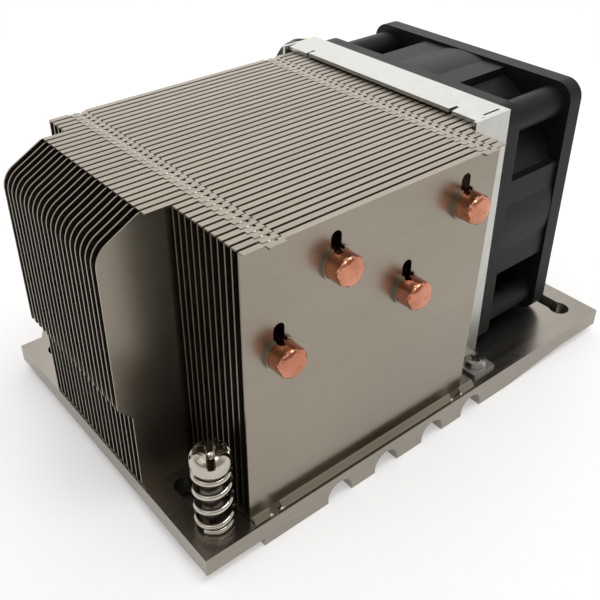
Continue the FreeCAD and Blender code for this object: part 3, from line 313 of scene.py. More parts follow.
# %% [markdown]
# ## Tools for finishes
# Every finish starts the same way: a Principled shader, and the piece's own Object
# coordinates, which stay with the piece when it moves. Three patterns cover almost all
# of them: soft clouds, a grain that is stretched along one direction, and rare specks.

# %% Start a finish
def new_finish(name, **constants):
    """A material, the place on the piece as a signal, and its Principled shader."""
    material = bpy.data.materials.new(name)
    material.use_nodes = True
    shader = material.node_tree.nodes["Principled BSDF"]
    for socket, value in constants.items():
        shader.inputs[socket.replace("_", " ")].default_value = value
    place = Signal(material.node_tree).add("ShaderNodeTexCoord", output="Object")
    return material, place, shader


def feed(shader, **signals):
    """Links signals to the shader's sockets: Base_Color, Roughness, Normal and so on."""
    for socket, signal in signals.items():
        signal.tree.links.new(signal.socket, shader.inputs[socket.replace("_", " ")])


def clouds(place, scale, detail=2.0, stretch=(1.0, 1.0, 1.0)):
    """Noise about 0.5. A stretch above 1 packs it tighter along that axis."""
    spot = place.add("ShaderNodeMapping", {}, {"Vector": place, "Scale": stretch})
    return spot.add("ShaderNodeTexNoise", {}, {"Vector": spot, "Scale": scale,
                                               "Detail": detail})


def specks(place, scale, size):
    """1 in small round spots, about one for each cell of a random lattice, else 0."""
    away = place.add("ShaderNodeTexVoronoi", {}, {"Vector": place, "Scale": scale},
                     "Distance")
    return away.step(size, 0.6 * size)


def between(mask, low, high):
    """A colour that goes from low, a colour or a signal, to high as the mask rises."""
    low = low if isinstance(low, Signal) else (*low, 1.0)
    return mask.add("ShaderNodeMix", {"data_type": "RGBA"},
                    {0: mask, 6: low, 7: (*high, 1.0)}, 2)


def relief(height, depth):
    """The normal of a surface whose height signal of 0 to 1 stands for that depth."""
    return height.add("ShaderNodeBump", {}, {"Height": height, "Strength": 1.0,
                                             "Distance": depth}, "Normal")


print("finishes can be started")

# %% [markdown]
# ## Satin nickel on the fins
# The fins are 0.35 mm aluminium sheet, nickel-plated so that solder wets it. The plating
# is warm grey and satin. Rolling leaves a faint grain along the sheet, each fin comes
# from another part of the coil, so its tone differs a little from its neighbour's, and
# there are always a few tiny pits. The fin's number comes from its place across the
# stack, which seeds the change in tone.

# %% Finish the fins
FIN_PITCH, FIN_START, FIN_COUNT = 1.842 * MM, 1.2 * MM, 36
FIRST_FIN_Y, SHEET_SLACK = CORNER.y * MM + FIN_START, 0.2 * MM

fin_finish, place, shader = new_finish("satin_nickel_sheet", Metallic=1.0)
x, y, z = place.split()
fin_number = ((y - (FIRST_FIN_Y - SHEET_SLACK)) / FIN_PITCH).floor()
tone = fin_number.add("ShaderNodeTexWhiteNoise", {"noise_dimensions": "1D"},
                      {"W": fin_number})
cloud = clouds(place, 45.0)
grain = clouds(place, 900.0, 3.0, (0.06, 1.0, 1.0))
pits = specks(place, 230.0, 0.045)
shade = tone * 0.25 + cloud * 0.5 + grain * 0.25
metal = between(shade, (0.232, 0.203, 0.162), (0.355, 0.317, 0.260))
feed(shader, Base_Color=between(pits * 0.30, metal, (0.10, 0.085, 0.07)),
     Roughness=0.22 + cloud * 0.10 + grain * 0.08,
     Normal=relief(grain * 0.6 + cloud * 0.4, 0.004 * MM))
print("fins:", fin_finish.name)

# %% [markdown]
# ## The ground base plate
# The plate is milled, ground and nickel-plated. Its top shows a fine grinding grain along
# its length. Its underside is fly-cut flat together with the pipes, so one set of shallow
# arcs runs across plate and copper alike. The arcs are rings about a far centre, and only
# the lowest level of the part carries them.

# %% Finish the base plate
CUTTER_CENTRE = (-0.19, 0.02)
ARC_PITCH = 0.35 * MM
UNDERSIDE = (0.06 * MM, 0.03 * MM)


def cutter_arcs(place):
    """The fly cutter's arcs, 0 to 1, on the underside only."""
    x, y, z = place.split()
    away = place.add("ShaderNodeVectorMath", {"operation": "DISTANCE"},
                     {0: place, 1: (*CUTTER_CENTRE, 0.0)}, "Value")
    wave = away.math("SINE", away * (2 * math.pi / ARC_PITCH))
    return (wave * 0.5 + 0.5) * z.step(*UNDERSIDE)


base_finish, place, shader = new_finish("satin_nickel_plate", Metallic=1.0)
cloud = clouds(place, 28.0)
grain = clouds(place, 700.0, 3.0, (0.05, 1.0, 1.0))
arcs = cutter_arcs(place)
metal = between(cloud * 0.6 + grain * 0.4, (0.25, 0.223, 0.190), (0.37, 0.336, 0.292))
feed(shader, Base_Color=between(arcs * 0.5, metal, (0.46, 0.43, 0.38)),
     Roughness=0.20 + cloud * 0.08 + grain * 0.07 - arcs * 0.08,
     Normal=relief(grain * 0.3 + cloud * 0.2 + arcs * 0.5, 0.006 * MM))
print("base plate:", base_finish.name)

# %% [markdown]
# ## Copper pipes
# Heat pipes are drawn copper. The tips that stand out of the fins are bright and smooth,
# with faint draw lines along the pipe and a little tarnish. They must be glossier than
# the nickel, so that each tip catches one sharp light.

# %% Finish the heat pipes
copper_finish, place, shader = new_finish("drawn_copper", Metallic=1.0)
tarnish = clouds(place, 220.0, 3.0)
draw_lines = clouds(place, 1800.0, 2.0, (1.0, 0.04, 1.0))
arcs = cutter_arcs(place)
copper = between(tarnish.step(0.35, 0.7), (0.61, 0.262, 0.165), (0.45, 0.175, 0.108))
feed(shader, Base_Color=between(arcs * 0.4, copper, (0.85, 0.44, 0.30)),
     Roughness=0.07 + tarnish * 0.06 + draw_lines * 0.04,
     Normal=relief(draw_lines * 0.5 + tarnish * 0.5, 0.006 * MM))
print("pipes:", copper_finish.name)

# %% [markdown]
# ## Bracket, screws and springs
# The bracket is bright zinc-plated steel, the palest metal here: a soft sheen with a
# cloudy spangle. The small screws are nickel-plated steel. The captive screw and its
# spring are polished and plated, almost a mirror, with hairline scratches that break the
# reflections up. Below its head the screw's colour is made dark and its finish duller, by
# height alone, so the spring stands out before it.

# %% Finish the steel pieces
SHANK_TOP, SHANK_BLEND = 21.15 * MM, 0.2 * MM


def polished_plating(place):
    """The colour, the clouds and the hairlines that spring and captive screw share."""
    cloud = clouds(place, 300.0)
    hairlines = clouds(place, 2500.0, 2.0, (1.0, 1.0, 0.05))
    return between(cloud, (0.42, 0.39, 0.335), (0.57, 0.535, 0.47)), cloud, hairlines


zinc_finish, place, shader = new_finish("bright_zinc", Metallic=1.0)
spangle = place.add("ShaderNodeTexVoronoi", {}, {"Vector": place, "Scale": 420.0}, "Color")
patch = spangle.add("ShaderNodeSeparateColor", {}, {"Color": spangle})
grain = clouds(place, 800.0, 2.0, (1.0, 0.08, 1.0))
feed(shader, Base_Color=between(patch * 0.4 + grain * 0.6, (0.47, 0.47, 0.445),
                                (0.60, 0.60, 0.570)),
     Roughness=0.30 + patch * 0.05 + grain * 0.12,
     Normal=relief(grain, 0.004 * MM))

screw_finish, place, shader = new_finish("nickel_plated_screw", Metallic=1.0)
cloud = clouds(place, 900.0)
feed(shader, Base_Color=between(cloud, (0.26, 0.25, 0.235), (0.42, 0.405, 0.385)),
     Roughness=0.18 + cloud * 0.12, Normal=relief(cloud, 0.006 * MM))

chrome_finish, place, shader = new_finish("polished_plating", Metallic=1.0)
polished, cloud, hairlines = polished_plating(place)
feed(shader, Base_Color=polished, Roughness=0.06 + cloud * 0.05 + hairlines * 0.04,
     Normal=relief(hairlines * 0.4 + cloud * 0.6, 0.005 * MM))

turned_finish, place, shader = new_finish("captive_screw_plating", Metallic=1.0)
x, y, z = place.split()
# below the head the colour is made dark and the finish duller, by height alone
shank = z.step(SHANK_TOP, SHANK_TOP - SHANK_BLEND)
polished, cloud, hairlines = polished_plating(place)
feed(shader, Base_Color=between(shank, polished, (0.12, 0.105, 0.09)),
     Roughness=0.07 + cloud * 0.05 + hairlines * 0.04 + shank * 0.22,
     Normal=relief(hairlines * 0.4 + cloud * 0.6, 0.005 * MM))
print("steel:", zinc_finish.name, screw_finish.name, chrome_finish.name,
      turned_finish.name)

# %% [markdown]
# ## Moulded plastic
# Fan frames are glass-filled black plastic from a spark-eroded mould, which leaves a fine
# even texture and a low sheen. The impeller is moulded from a smoother grade and shows
# faint flow clouds. Black plastic is never quite black or quite even, so the colour
# drifts a little towards blue-grey.

# %% Finish the plastic pieces
PLASTIC_SHEEN = 0.17


def moulded(name, low, high, roughness, texture, depth):
    """Moulded plastic: a texture size in cells for each metre, and how deep it is."""
    finish, place, shader = new_finish(name, Specular_IOR_Level=PLASTIC_SHEEN)
    erosion = clouds(place, texture, 2.0)
    flow = clouds(place, 60.0, 3.0, (1.0, 1.0, 0.4))
    feed(shader, Base_Color=between(flow, low, high),
         Roughness=roughness - 0.05 + flow * 0.10 + erosion * 0.08,
         Normal=relief(erosion, depth))
    return finish


frame_finish = moulded("black_fan_moulding", (0.0050, 0.0055, 0.0062),
                       (0.0095, 0.0105, 0.0120), 0.42, 5200.0, 0.012 * MM)
blade_finish = moulded("black_impeller_moulding", (0.010, 0.011, 0.014),
                       (0.020, 0.022, 0.028), 0.28, 3000.0, 0.004 * MM)
plug_finish = moulded("black_plug_moulding", (0.012, 0.012, 0.012),
                      (0.024, 0.024, 0.024), 0.36, 4000.0, 0.006 * MM)
print("plastics:", frame_finish.name, blade_finish.name, plug_finish.name)

# %% [markdown]
# ## Inside the fan
# The motor shows only through the blades, but each of its pieces still gets the finish
# of what it is: laminated steel, ferrite, enamelled windings and a green circuit board
# with its tracks. Thin bands along the right axis do most of the work.

# %% Finish the motor
def bands(signal, pitch):
    """Even bands, 0 to 1, across a coordinate."""
    return signal.math("SINE", signal * (2 * math.pi / pitch)) * 0.5 + 0.5


steel_finish, place, shader = new_finish("laminated_steel", Metallic=1.0)
x, y, z = place.split()
sheets = bands(x, 0.5 * MM)
stain = clouds(place, 400.0)
feed(shader, Base_Color=between(stain * 0.6 + sheets * 0.4, (0.20, 0.195, 0.19),
                                (0.42, 0.41, 0.395)),
     Roughness=0.30 + stain * 0.18, Normal=relief(sheets, 0.01 * MM))

ferrite_finish, place, shader = new_finish("dark_ferrite", Specular_IOR_Level=0.3)
grit = clouds(place, 3500.0, 3.0)
feed(shader, Base_Color=between(grit, (0.018, 0.018, 0.019), (0.050, 0.049, 0.048)),
     Roughness=0.55 + grit * 0.2, Normal=relief(grit, 0.02 * MM))

winding_finish, place, shader = new_finish("enamelled_winding", Metallic=1.0,
                                           Coat_Weight=0.5, Coat_Roughness=0.1)
x, y, z = place.split()
strands = bands(x, 0.3 * MM)
feed(shader, Base_Color=between(strands, (0.20, 0.065, 0.022), (0.66, 0.27, 0.10)),
     Roughness=0.22 + strands * 0.12, Normal=relief(strands, 0.08 * MM))

board_finish, place, shader = new_finish("green_circuit_board", Specular_IOR_Level=0.5)
tracks = place.add("ShaderNodeTexVoronoi", {"distance": "MANHATTAN"},
                   {"Vector": place, "Scale": 420.0}, "Distance").step(0.52, 0.60)
feed(shader, Base_Color=between(tracks, (0.012, 0.085, 0.036), (0.022, 0.15, 0.062)),
     Roughness=0.25 + tracks * 0.10, Normal=relief(tracks, 0.03 * MM))
print("motor:", steel_finish.name, ferrite_finish.name, winding_finish.name)

# %% [markdown]
# ## Give the frame's pieces their finishes
# Each piece of the frame already names its material slot, so one table from slot to
# finish dresses them all. The impeller is the one exception, because it shares its slot
# with the fan's frame and is moulded from a smoother plastic.

# %% Dress the frame
finish_of_slot = {
    "base_metal": base_finish, "fin_metal": fin_finish, "pipe_copper": copper_finish,
    "bracket_sheet": zinc_finish, "screw_steel": screw_finish,
    "captive_chrome": chrome_finish, "fan_plastic": frame_finish,
    "motor_steel": steel_finish, "magnet_ferrite": ferrite_finish,
    "winding_copper": winding_finish, "board_laminate": board_finish,
    "lead_sleeve": plug_finish, "plug_plastic": plug_finish,
}
for name, node in nodes.items():
    for slot in node.material_slots:
        slot.material = finish_of_slot[slot.material.name.split(".")[0]]
nodes["fan_impeller"].material_slots[0].material = blade_finish
print("dressed", len(nodes), "pieces")

# %% [markdown]
# ## Trees that grow shapes
# What repeats or follows a rule is grown by Geometry Nodes: one tree with named sizes,
# whose result is then kept as a plain mesh, so nothing depends on the tree afterwards.
# A modifier's inputs go by the socket's identifier, and are set before the object is
# evaluated.

# %% Grow a piece from a tree
def new_tree(name, sizes):
    """A geometry tree with named inputs, and each input as a signal."""
    tree = bpy.data.node_groups.new(name, "GeometryNodeTree")
    for size, default in sizes.items():
        whole = isinstance(default, int)
        socket = tree.interface.new_socket(
            size, in_out="INPUT",
            socket_type="NodeSocketInt" if whole else "NodeSocketFloat")
        socket.default_value = default
    tree.interface.new_socket("Geometry", in_out="OUTPUT",
                              socket_type="NodeSocketGeometry")
    group = tree.nodes.new("NodeGroupInput")
    return tree, [Signal(tree, group.outputs[size]) for size in sizes]


def close_tree(shape, finish):
    """Makes instances real, sets the finish and ends the tree."""
    real = shape.add("GeometryNodeRealizeInstances", {}, {"Geometry": shape})
    dressed = real.add("GeometryNodeSetMaterial", {}, {"Geometry": real,
                                                       "Material": finish})
    end = shape.tree.nodes.new("NodeGroupOutput")
    shape.tree.links.new(dressed.socket, end.inputs[0])


def grow(name, tree, sizes):
    """The tree's result for these sizes, as a plain mesh object at the origin."""
    piece = bpy.data.objects.new(name, bpy.data.meshes.new(name))
    scene.collection.objects.link(piece)
    modifier = piece.modifiers.new("tree", "NODES")
    modifier.node_group = tree
    for socket in tree.interface.items_tree:
        if socket.in_out == "INPUT":
            modifier[socket.identifier] = sizes.get(socket.name, socket.default_value)
    bpy.context.view_layer.update()
    graph = bpy.context.evaluated_depsgraph_get()
    grown = bpy.data.meshes.new_from_object(piece.evaluated_get(graph))
    piece.modifiers.remove(modifier)
    piece.data = grown
    print(name, "has", len(grown.polygons), "faces")
    return piece


print("trees can be grown")

# %% [markdown]
# ## The captive screw's spring
# The spring is round wire on a helix, with one closed turn at each end, so that it
# stands flat. A plain screw modifier can't change its pitch on the way, so the tree
# places each point by its turn: the height is a sum of three clamped rises.

# %% Plan the spring
SPRING_FOOT, SPRING_HEAD = 6.2 * MM, 21.2 * MM
CLOSED_PITCH = 1.05
spring_low, spring_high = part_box("screw_spring")
SCREW_X, SCREW_Y = ((spring_low + spring_high) / 2)[:2]
tree, (wire, radius, length, turns, steps, start, middle_x, middle_y, foot) = new_tree(
    "spring", {"Wire": 1.12 * MM, "Mean radius": 3.36 * MM, "Length": 15.0 * MM,
               "Turns": 4.95, "Points": 163, "Start angle": math.radians(203),
               "Middle X": 0.0, "Middle Y": 0.0, "Foot": 0.0})
row = wire.add("GeometryNodeMeshLine", {}, {"Count": steps})
path = row.add("GeometryNodeMeshToCurve", {}, {"Mesh": row})
turn = row.add("GeometryNodeInputIndex") / (steps - 1) * turns
closed = wire * CLOSED_PITCH
open_rise = (length - wire - closed * 2) / (turns - 2)


def clamped(signal, low, high):
    return signal.math("MINIMUM", signal.math("MAXIMUM", signal, low), high)


height = (foot + wire * 0.5 + closed * clamped(turn, 0.0, 1.0)
          + open_rise * clamped(turn - 1, 0.0, turns - 2)
          + closed * clamped(turn - turns + 1, 0.0, 1.0))
angle = start + turn * (2 * math.pi)
spot = angle.add("ShaderNodeCombineXYZ", {}, {
    "X": middle_x + radius * angle.math("COSINE", angle),
    "Y": middle_y + radius * angle.math("SINE", angle), "Z": height})
helix = path.add("GeometryNodeSetPosition", {}, {"Geometry": path, "Position": spot})
section = wire.add("GeometryNodeCurvePrimitiveCircle", {}, {"Resolution": 16,
                                                            "Radius": wire * 0.5})
coiled = helix.add("GeometryNodeCurveToMesh", {}, {"Curve": helix,
                                                   "Profile Curve": section,
                                                   "Fill Caps": True})
close_tree(coiled, chrome_finish)
print("spring tree:", len(tree.nodes), "nodes")

# %% [markdown]
# The real spring shortens between the plate and the screw's head as the screw goes down,
# to a little over half of its length: 8 mm of 15 mm. Here it is grown at its full 15 mm
# and fixed to the heatsink, so it doesn't ride with the screw.

# %% Grow the spring
spring = grow("captive_spring_wire", tree, {
    "Length": SPRING_HEAD - SPRING_FOOT, "Middle X": SCREW_X, "Middle Y": SCREW_Y,
    "Foot": SPRING_FOOT})
spring.data.shade_smooth()
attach(spring, "heatsink")
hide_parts("screw_spring")
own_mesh(spring)

# %% [markdown]
# ## The captive screw
# The screw is turned in one piece and polished, with a domed head and a pressed cross
# recess whose four slots run out on the dome's flank. A boolean cut would leave ragged
# shading on such a glossy dome. Here the head is a stack of rings instead, and each ring
# puts its points where it crosses the slots' edges, so every edge of the recess is a
# clean line of points.

# %% Plan the screw's head
HEAD_RADIUS, DOME_RADIUS, HEAD_TOP = 4.0, 2.7, 25.1
SLOT_DEPTH, SLOT_RISE = 2.1, 0.08
CONE_DEPTH, CONE_RADIUS = 0.9, 0.85
SLOT_HALF_TOP, SLOT_HALF_FLOOR = 0.82, 0.52
CROSS_TURN = math.radians(59)
LOBE_STEPS, DOME_STEPS, DOME_REACH = 18, 16, 1.4
TURNED_SIDES = 4 * (LOBE_STEPS + 4)
SCREW_PROFILE = [(0.3, 0.25), (1.5, 0.25), (1.9, 0.65), (1.9, 1.4), (1.5, 1.4),
                 (1.5, 1.97), (1.9, 1.97), (1.9, 2.25), (2.3, 2.65), (2.3, 21.2),
                 (3.6, 21.2), (3.88, 21.31), (4.0, 21.6)]
LOBE_START = SLOT_HALF_TOP * math.sqrt(2)
HEAD_RINGS = ([HEAD_RADIUS - DOME_REACH * (k / DOME_STEPS) ** 2
               for k in range(DOME_STEPS + 1)]
              + [2.3, 1.95, 1.6, LOBE_START * 1.06, LOBE_START, 0.8, 0.4, 0.06])


def dome_level(r):
    """The height of the plain dome at a radius."""
    over = max(0.0, r - (HEAD_RADIUS - DOME_RADIUS))
    return HEAD_TOP - DOME_RADIUS + math.sqrt(max(0.0, DOME_RADIUS ** 2 - over ** 2))


def head_ring(r):
    """One ring of the head: for each quarter, half a slot, a lobe and half a slot."""
    top = dome_level(r)
    floor = min(top, HEAD_TOP - SLOT_DEPTH + SLOT_RISE * r
                - CONE_DEPTH * max(0.0, 1 - r / CONE_RADIUS))
    lobe = top if r > LOBE_START else floor
    edge = min(math.pi / 4, math.asin(min(1.0, SLOT_HALF_TOP / r)))
    foot = min(math.pi / 4, math.asin(min(1.0, SLOT_HALF_FLOOR / r)))
    ring = []
    for quarter in range(4):
        turns = [(0.0, floor), (foot, floor)]
        for k in range(LOBE_STEPS + 1):
            turns.append((edge + (math.pi / 2 - 2 * edge) * k / LOBE_STEPS, lobe))
        turns.append((math.pi / 2 - foot, floor))
        for turn, level in turns:
            angle = CROSS_TURN + quarter * math.pi / 2 + turn
            ring.append((r * math.cos(angle), r * math.sin(angle), level))
    return ring


print("head:", len(HEAD_RINGS), "rings of", TURNED_SIDES, "points")

# %% [markdown]
# The shank's plain rings and the head's rings join into one turned body. Points that fall
# together near the axis are merged, and a small bevel catches the light along the edges.

# %% Turn the captive screw
MERGE_DISTANCE, EDGE_BEVEL, EDGE_ANGLE = 0.002 * MM, 0.07 * MM, math.radians(40)
rings = []
for r, level in SCREW_PROFILE:
    rings.append([(r * math.cos(2 * math.pi * k / TURNED_SIDES + CROSS_TURN),
                   r * math.sin(2 * math.pi * k / TURNED_SIDES + CROSS_TURN), level)
                  for k in range(TURNED_SIDES)])
rings += [head_ring(r) for r in HEAD_RINGS]
points = [(SCREW_X + x * MM, SCREW_Y + y * MM, z * MM)
          for ring in rings for x, y, z in ring]
screw = new_piece("captive_screw_turned", points, tube_faces(len(rings), TURNED_SIDES),
                  turned_finish)
shell = bmesh.new()
shell.from_mesh(screw.data)
bmesh.ops.remove_doubles(shell, verts=shell.verts, dist=MERGE_DISTANCE)
bmesh.ops.dissolve_degenerate(shell, edges=shell.edges, dist=MERGE_DISTANCE)
shell.to_mesh(screw.data)
shell.free()
bevel = screw.modifiers.new("edges", "BEVEL")
bevel.width, bevel.segments, bevel.limit_method = EDGE_BEVEL, 2, "ANGLE"
bevel.angle_limit = EDGE_ANGLE
bevel.harden_normals = True
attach(screw, "captive_screw")
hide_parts("captive_screw")
print("screw:", len(screw.data.polygons), "faces")

# %% [markdown]
# ## The zipper's dimples
# Each fin's top flange is pressed into its neighbour in two rows, and the punch leaves a
# small dimple beside each row's opening. Two mesh lines give the places, and one low dome
# is instanced on all of them. The domes get the paler zinc finish instead of the fins'
# nickel, a painted highlight that makes each one read bright.

# %% Grow the dimples
STACK_TOP = 66.2 * MM
DIMPLE_ROWS, DIMPLE_SHIFT, DIMPLE_RADIUS = (17.3, 68.0), 0.78 * MM, 0.30 * MM
tree, (count, pitch, front_x, rear_x, first_y, level, size) = new_tree(
    "dimples", {"Fins": FIN_COUNT, "Pitch": FIN_PITCH, "Front X": 0.0, "Rear X": 0.0,
                "First Y": 0.0, "Level": STACK_TOP, "Dimple radius": DIMPLE_RADIUS})
dome = size.add("GeometryNodeMeshIcoSphere", {}, {"Radius": size, "Subdivisions": 2})
flat_dome = dome.add("GeometryNodeTransform", {}, {"Geometry": dome,
                                                   "Scale": (1.0, 1.0, 0.5)})
rows = []
for row_x in (front_x, rear_x):
    start = row_x.add("ShaderNodeCombineXYZ", {}, {"X": row_x, "Y": first_y, "Z": level})
    offset = pitch.add("ShaderNodeCombineXYZ", {}, {"X": 0.0, "Y": pitch, "Z": 0.0})
    line = start.add("GeometryNodeMeshLine", {}, {"Count": count, "Start Location": start,
                                                  "Offset": offset})
    rows.append(line.add("GeometryNodeInstanceOnPoints", {}, {"Points": line,
                                                              "Instance": flat_dome}))
both = rows[0].add("GeometryNodeJoinGeometry", {}, {"Geometry": rows[0]})
both.tree.links.new(rows[1].socket, both.socket.node.inputs[0])
# painted highlight: the dimples take the paler zinc finish, not the fins' own nickel
close_tree(both, zinc_finish)
dimples = grow("zipper_dimples", tree, {
    "Front X": (DIMPLE_ROWS[0] + CORNER.x) * MM,
    "Rear X": (DIMPLE_ROWS[1] + CORNER.x) * MM, "First Y": FIRST_FIN_Y + DIMPLE_SHIFT})
dimples.data.shade_smooth()
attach(dimples, "heatsink")

# %% [markdown]
# ## The pipes' tips
# Each pipe is closed at its tip by spinning and a spot of weld, which leaves a soft round
# rim, eight faint flats from the jaws, and a small pip off the middle. A plain lathed
# end looks too perfect, so the rings of the cap bulge a little at the jaws, and one tiny
# dark dimple is pressed in. The caps sit over the plain ends of the pipes.

# %% Close the pipes' tips
CAP_RADIUS, RIM_RADIUS, CAP_FACE, CAP_FOOT = 3.04, 1.0, -2.06, 1.0
CAP_SIDES, JAWS, JAW_DEPTH, JAW_REACH, JAW_FADE = 64, 8, 0.05, 3.0, 2.0
RIM_STEPS, CAP_EDGE = 9, math.radians(55)
PIP, PIP_RADIUS, PIP_DEPTH = Vector((0.75, -0.45)), 0.26, 0.60
TIPS = [(19.3, 43.0), (31.7, 56.2), (49.7, 43.0), (64.0, 56.2)]
cap_rings = [(CAP_RADIUS, CAP_FOOT)]
for k in range(RIM_STEPS):
    turn = math.radians(10 * k)
    cap_rings.append((CAP_RADIUS - RIM_RADIUS * (1 - math.cos(turn)),
                      CAP_FACE + RIM_RADIUS * (1 - math.sin(turn))))
cap_rings += [(1.5, CAP_FACE - 0.005), (0.9, CAP_FACE - 0.01), (0.4, CAP_FACE),
              (PIP_RADIUS, CAP_FACE + 0.02), (PIP_RADIUS * 0.8, CAP_FACE + PIP_DEPTH)]
points, faces = [], []
for tip_x, tip_z in TIPS:
    first = len(points)
    for r, y in cap_rings:
        drift = PIP * max(0.0, 1 - r / (CAP_RADIUS - RIM_RADIUS))
        bulge = max(0.0, min(1.0, (CAP_FOOT - y) / JAW_REACH)) * min(1.0, r / JAW_FADE)
        for i in range(CAP_SIDES):
            angle = 2 * math.pi * i / CAP_SIDES
            pinch = 1 - JAW_DEPTH * bulge * (0.5 - 0.5 * math.cos(JAWS * angle + tip_x))
            points.append(to_frame((tip_x + drift.x + r * pinch * math.cos(angle), y,
                                    tip_z + drift.y + r * pinch * math.sin(angle))))
    faces += tube_faces(len(cap_rings), CAP_SIDES, first)
caps = new_piece("pipe_tip_caps", points, faces, copper_finish)
caps.data.set_sharp_from_angle(angle=CAP_EDGE)
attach(caps, "heatsink")
print("tips:", len(TIPS), "caps")

# %% [markdown]
# ## The first fin's foot
# The near fin's lower edge is rolled outwards into a narrow foot that stands just clear
# of the plate. It is cut away where the pipes pass under it, and a bead of solder has
# gathered at each cut. The foot is one bent section carried along the fin, which is what
# a folding machine makes.

# %% Fold the first fin's foot
FOOT_SECTION = [(-40.50, 8.15), (-40.62, 7.98), (-41.38, 7.08), (-41.52, 6.90),
                (-41.50, 6.78), (-41.38, 6.74), (-41.20, 6.86), (-40.50, 7.62)]
FOOT_RUNS = [(-47.3, -43.4), (-40.9, 6.9), (9.9, 14.3)]
corners = len(FOOT_SECTION)
points, faces = [], []
for start, stop in FOOT_RUNS:
    first = len(points)
    points += [Vector((x, y, z)) * MM for x in (start, stop) for y, z in FOOT_SECTION]
    for i in range(corners):
        j = (i + 1) % corners
        faces.append((first + i, first + j, first + corners + j, first + corners + i))
    faces.append(tuple(range(first, first + corners)))
    faces.append(tuple(range(first + corners, first + 2 * corners))[::-1])
foot = new_piece("first_fin_foot", points, faces, fin_finish, smooth=False)
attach(foot, "heatsink")
print("foot:", len(FOOT_RUNS), "runs")

# %% [markdown]
# A drop of solder has no straight edge anywhere, so each bead is an icosphere pulled
# long, not a box.

# %% Set the solder beads
BEADS = [(-43.5, 0.50), (-40.9, 0.55), (6.9, 0.42), (9.9, 0.42)]
BEAD_Y, BEAD_Z, BEAD_SLIM = -41.42 * MM, 7.02 * MM, 0.3
beads = bmesh.new()
for bead_x, long in BEADS:
    for vertex in bmesh.ops.create_icosphere(beads, subdivisions=3, radius=MM)["verts"]:
        vertex.co = Vector((bead_x * MM + vertex.co.x * long,
                            BEAD_Y + vertex.co.y * BEAD_SLIM,
                            BEAD_Z + vertex.co.z * BEAD_SLIM))
bead_mesh = bpy.data.meshes.new("foot_solder")
beads.to_mesh(bead_mesh)
beads.free()
bead_mesh.materials.append(chrome_finish)
bead_mesh.shade_smooth()
solder = bpy.data.objects.new("foot_solder", bead_mesh)
scene.collection.objects.link(solder)
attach(solder, "heatsink")
print("solder:", len(BEADS), "beads")

# %% [markdown]
# ## The fan's wires and sleeve
# Four thin wires leave the fan's frame twisted together and go into a black sleeve
# almost at once, and show again for a few millimetres before the plug. The wires are one
# mesh along the whole lead, because that is the cord, and each strand carries its own
# number, from which the finish takes its colour.

# %% Make the wires
WIRE_RADIUS, WIRE_OFFSET, WIRE_LAY = 0.40 * MM, 0.56 * MM, 11.0 * MM
WIRE_PHASE = math.radians(135)
SLEEVE_START, SLEEVE_TAIL = 12.5 * MM, 9.0 * MM
STRANDS, WIRE_SIDES, FIRST_NUMBER = 4, 7, 0.1

wire_finish, place, shader = new_finish("coloured_wire", Specular_IOR_Level=0.5)
strand = place.add("ShaderNodeAttribute", {"attribute_type": "GEOMETRY",
                                           "attribute_name": "strand"}, (), "Fac")
colour = strand.add("ShaderNodeValToRGB", {"stops": [
    (0.0, (0.012, 0.012, 0.012, 1.0)), (0.2, (0.80, 0.55, 0.05, 1.0)),
    (0.45, (0.02, 0.03, 0.10, 1.0)), (0.7, (0.20, 0.21, 0.22, 1.0))]}, {"Fac": strand})
wear = clouds(place, 700.0)
feed(shader, Base_Color=between(wear * 0.12, colour, (0.25, 0.25, 0.25)),
     Roughness=0.30 + wear * 0.15, Normal=relief(wear, 0.01 * MM))

points, faces, owner = [], [], []
for k in range(STRANDS):
    ring, skin = sweep(lead_path, WIRE_RADIUS, WIRE_SIDES, WIRE_OFFSET, WIRE_LAY,
                       WIRE_PHASE + 2 * math.pi * k / STRANDS)
    faces += [tuple(corner + len(points) for corner in face) for face in skin]
    points += ring
    owner += [k / STRANDS + FIRST_NUMBER] * len(ring)
wires = new_piece("fan_lead_wires", points, faces, wire_finish)
numbers = wires.data.attributes.new("strand", "FLOAT", "POINT")
numbers.data.foreach_set("value", owner)
print("wires:", len(wires.data.polygons), "faces")

# %% [markdown]
# The sleeve is braided: two sets of fine strips cross each other round it. Its own UV
# map runs round the sleeve and along it, so the braid follows every bend.

# %% Make the sleeve
SLEEVE_SIDES, BRAID_PITCH, BRAID_SLOPE = 10, 1.0 * MM, 4.0 * MM
braid_finish, place, shader = new_finish("braided_sleeve", Specular_IOR_Level=0.4)
around, along, _ = place.add("ShaderNodeUVMap", {"uv_map": "sleeve"}, (), "UV").split()
right = bands(around * BRAID_SLOPE + along, BRAID_PITCH)
left = bands(around * -BRAID_SLOPE + along, BRAID_PITCH)
weave = right.math("MAXIMUM", right, left)
feed(shader, Base_Color=between(weave, (0.006, 0.006, 0.0065), (0.030, 0.030, 0.032)),
     Roughness=0.50 + weave * 0.15, Normal=relief(weave, 0.05 * MM))

sleeve_path = stretch_of(lead_path, SLEEVE_START, lead_length - SLEEVE_TAIL)
points, faces = sweep(sleeve_path, LEAD_RADIUS * MM, SLEEVE_SIDES)
sleeve = new_piece("fan_lead_sleeve", points, faces, braid_finish)
uv = sleeve.data.uv_layers.new(name="sleeve")
distance = [0.0]
for a, b in zip(sleeve_path, sleeve_path[1:]):
    distance.append(distance[-1] + (b - a).length)
for face in sleeve.data.polygons:
    ring = [sleeve.data.loops[i].vertex_index for i in face.loop_indices]
    wraps = {index % SLEEVE_SIDES for index in ring} == {0, SLEEVE_SIDES - 1}
    for loop, index in zip(face.loop_indices, ring):
        k = index % SLEEVE_SIDES
        k = SLEEVE_SIDES if wraps and k == 0 else k
        uv.data[loop].uv = (k / SLEEVE_SIDES, distance[index // SLEEVE_SIDES])
print("sleeve: %.1f mm" % (distance[-1] / MM))

# %% [markdown]
# The coil is held by a small strap, which goes under and over both turns.

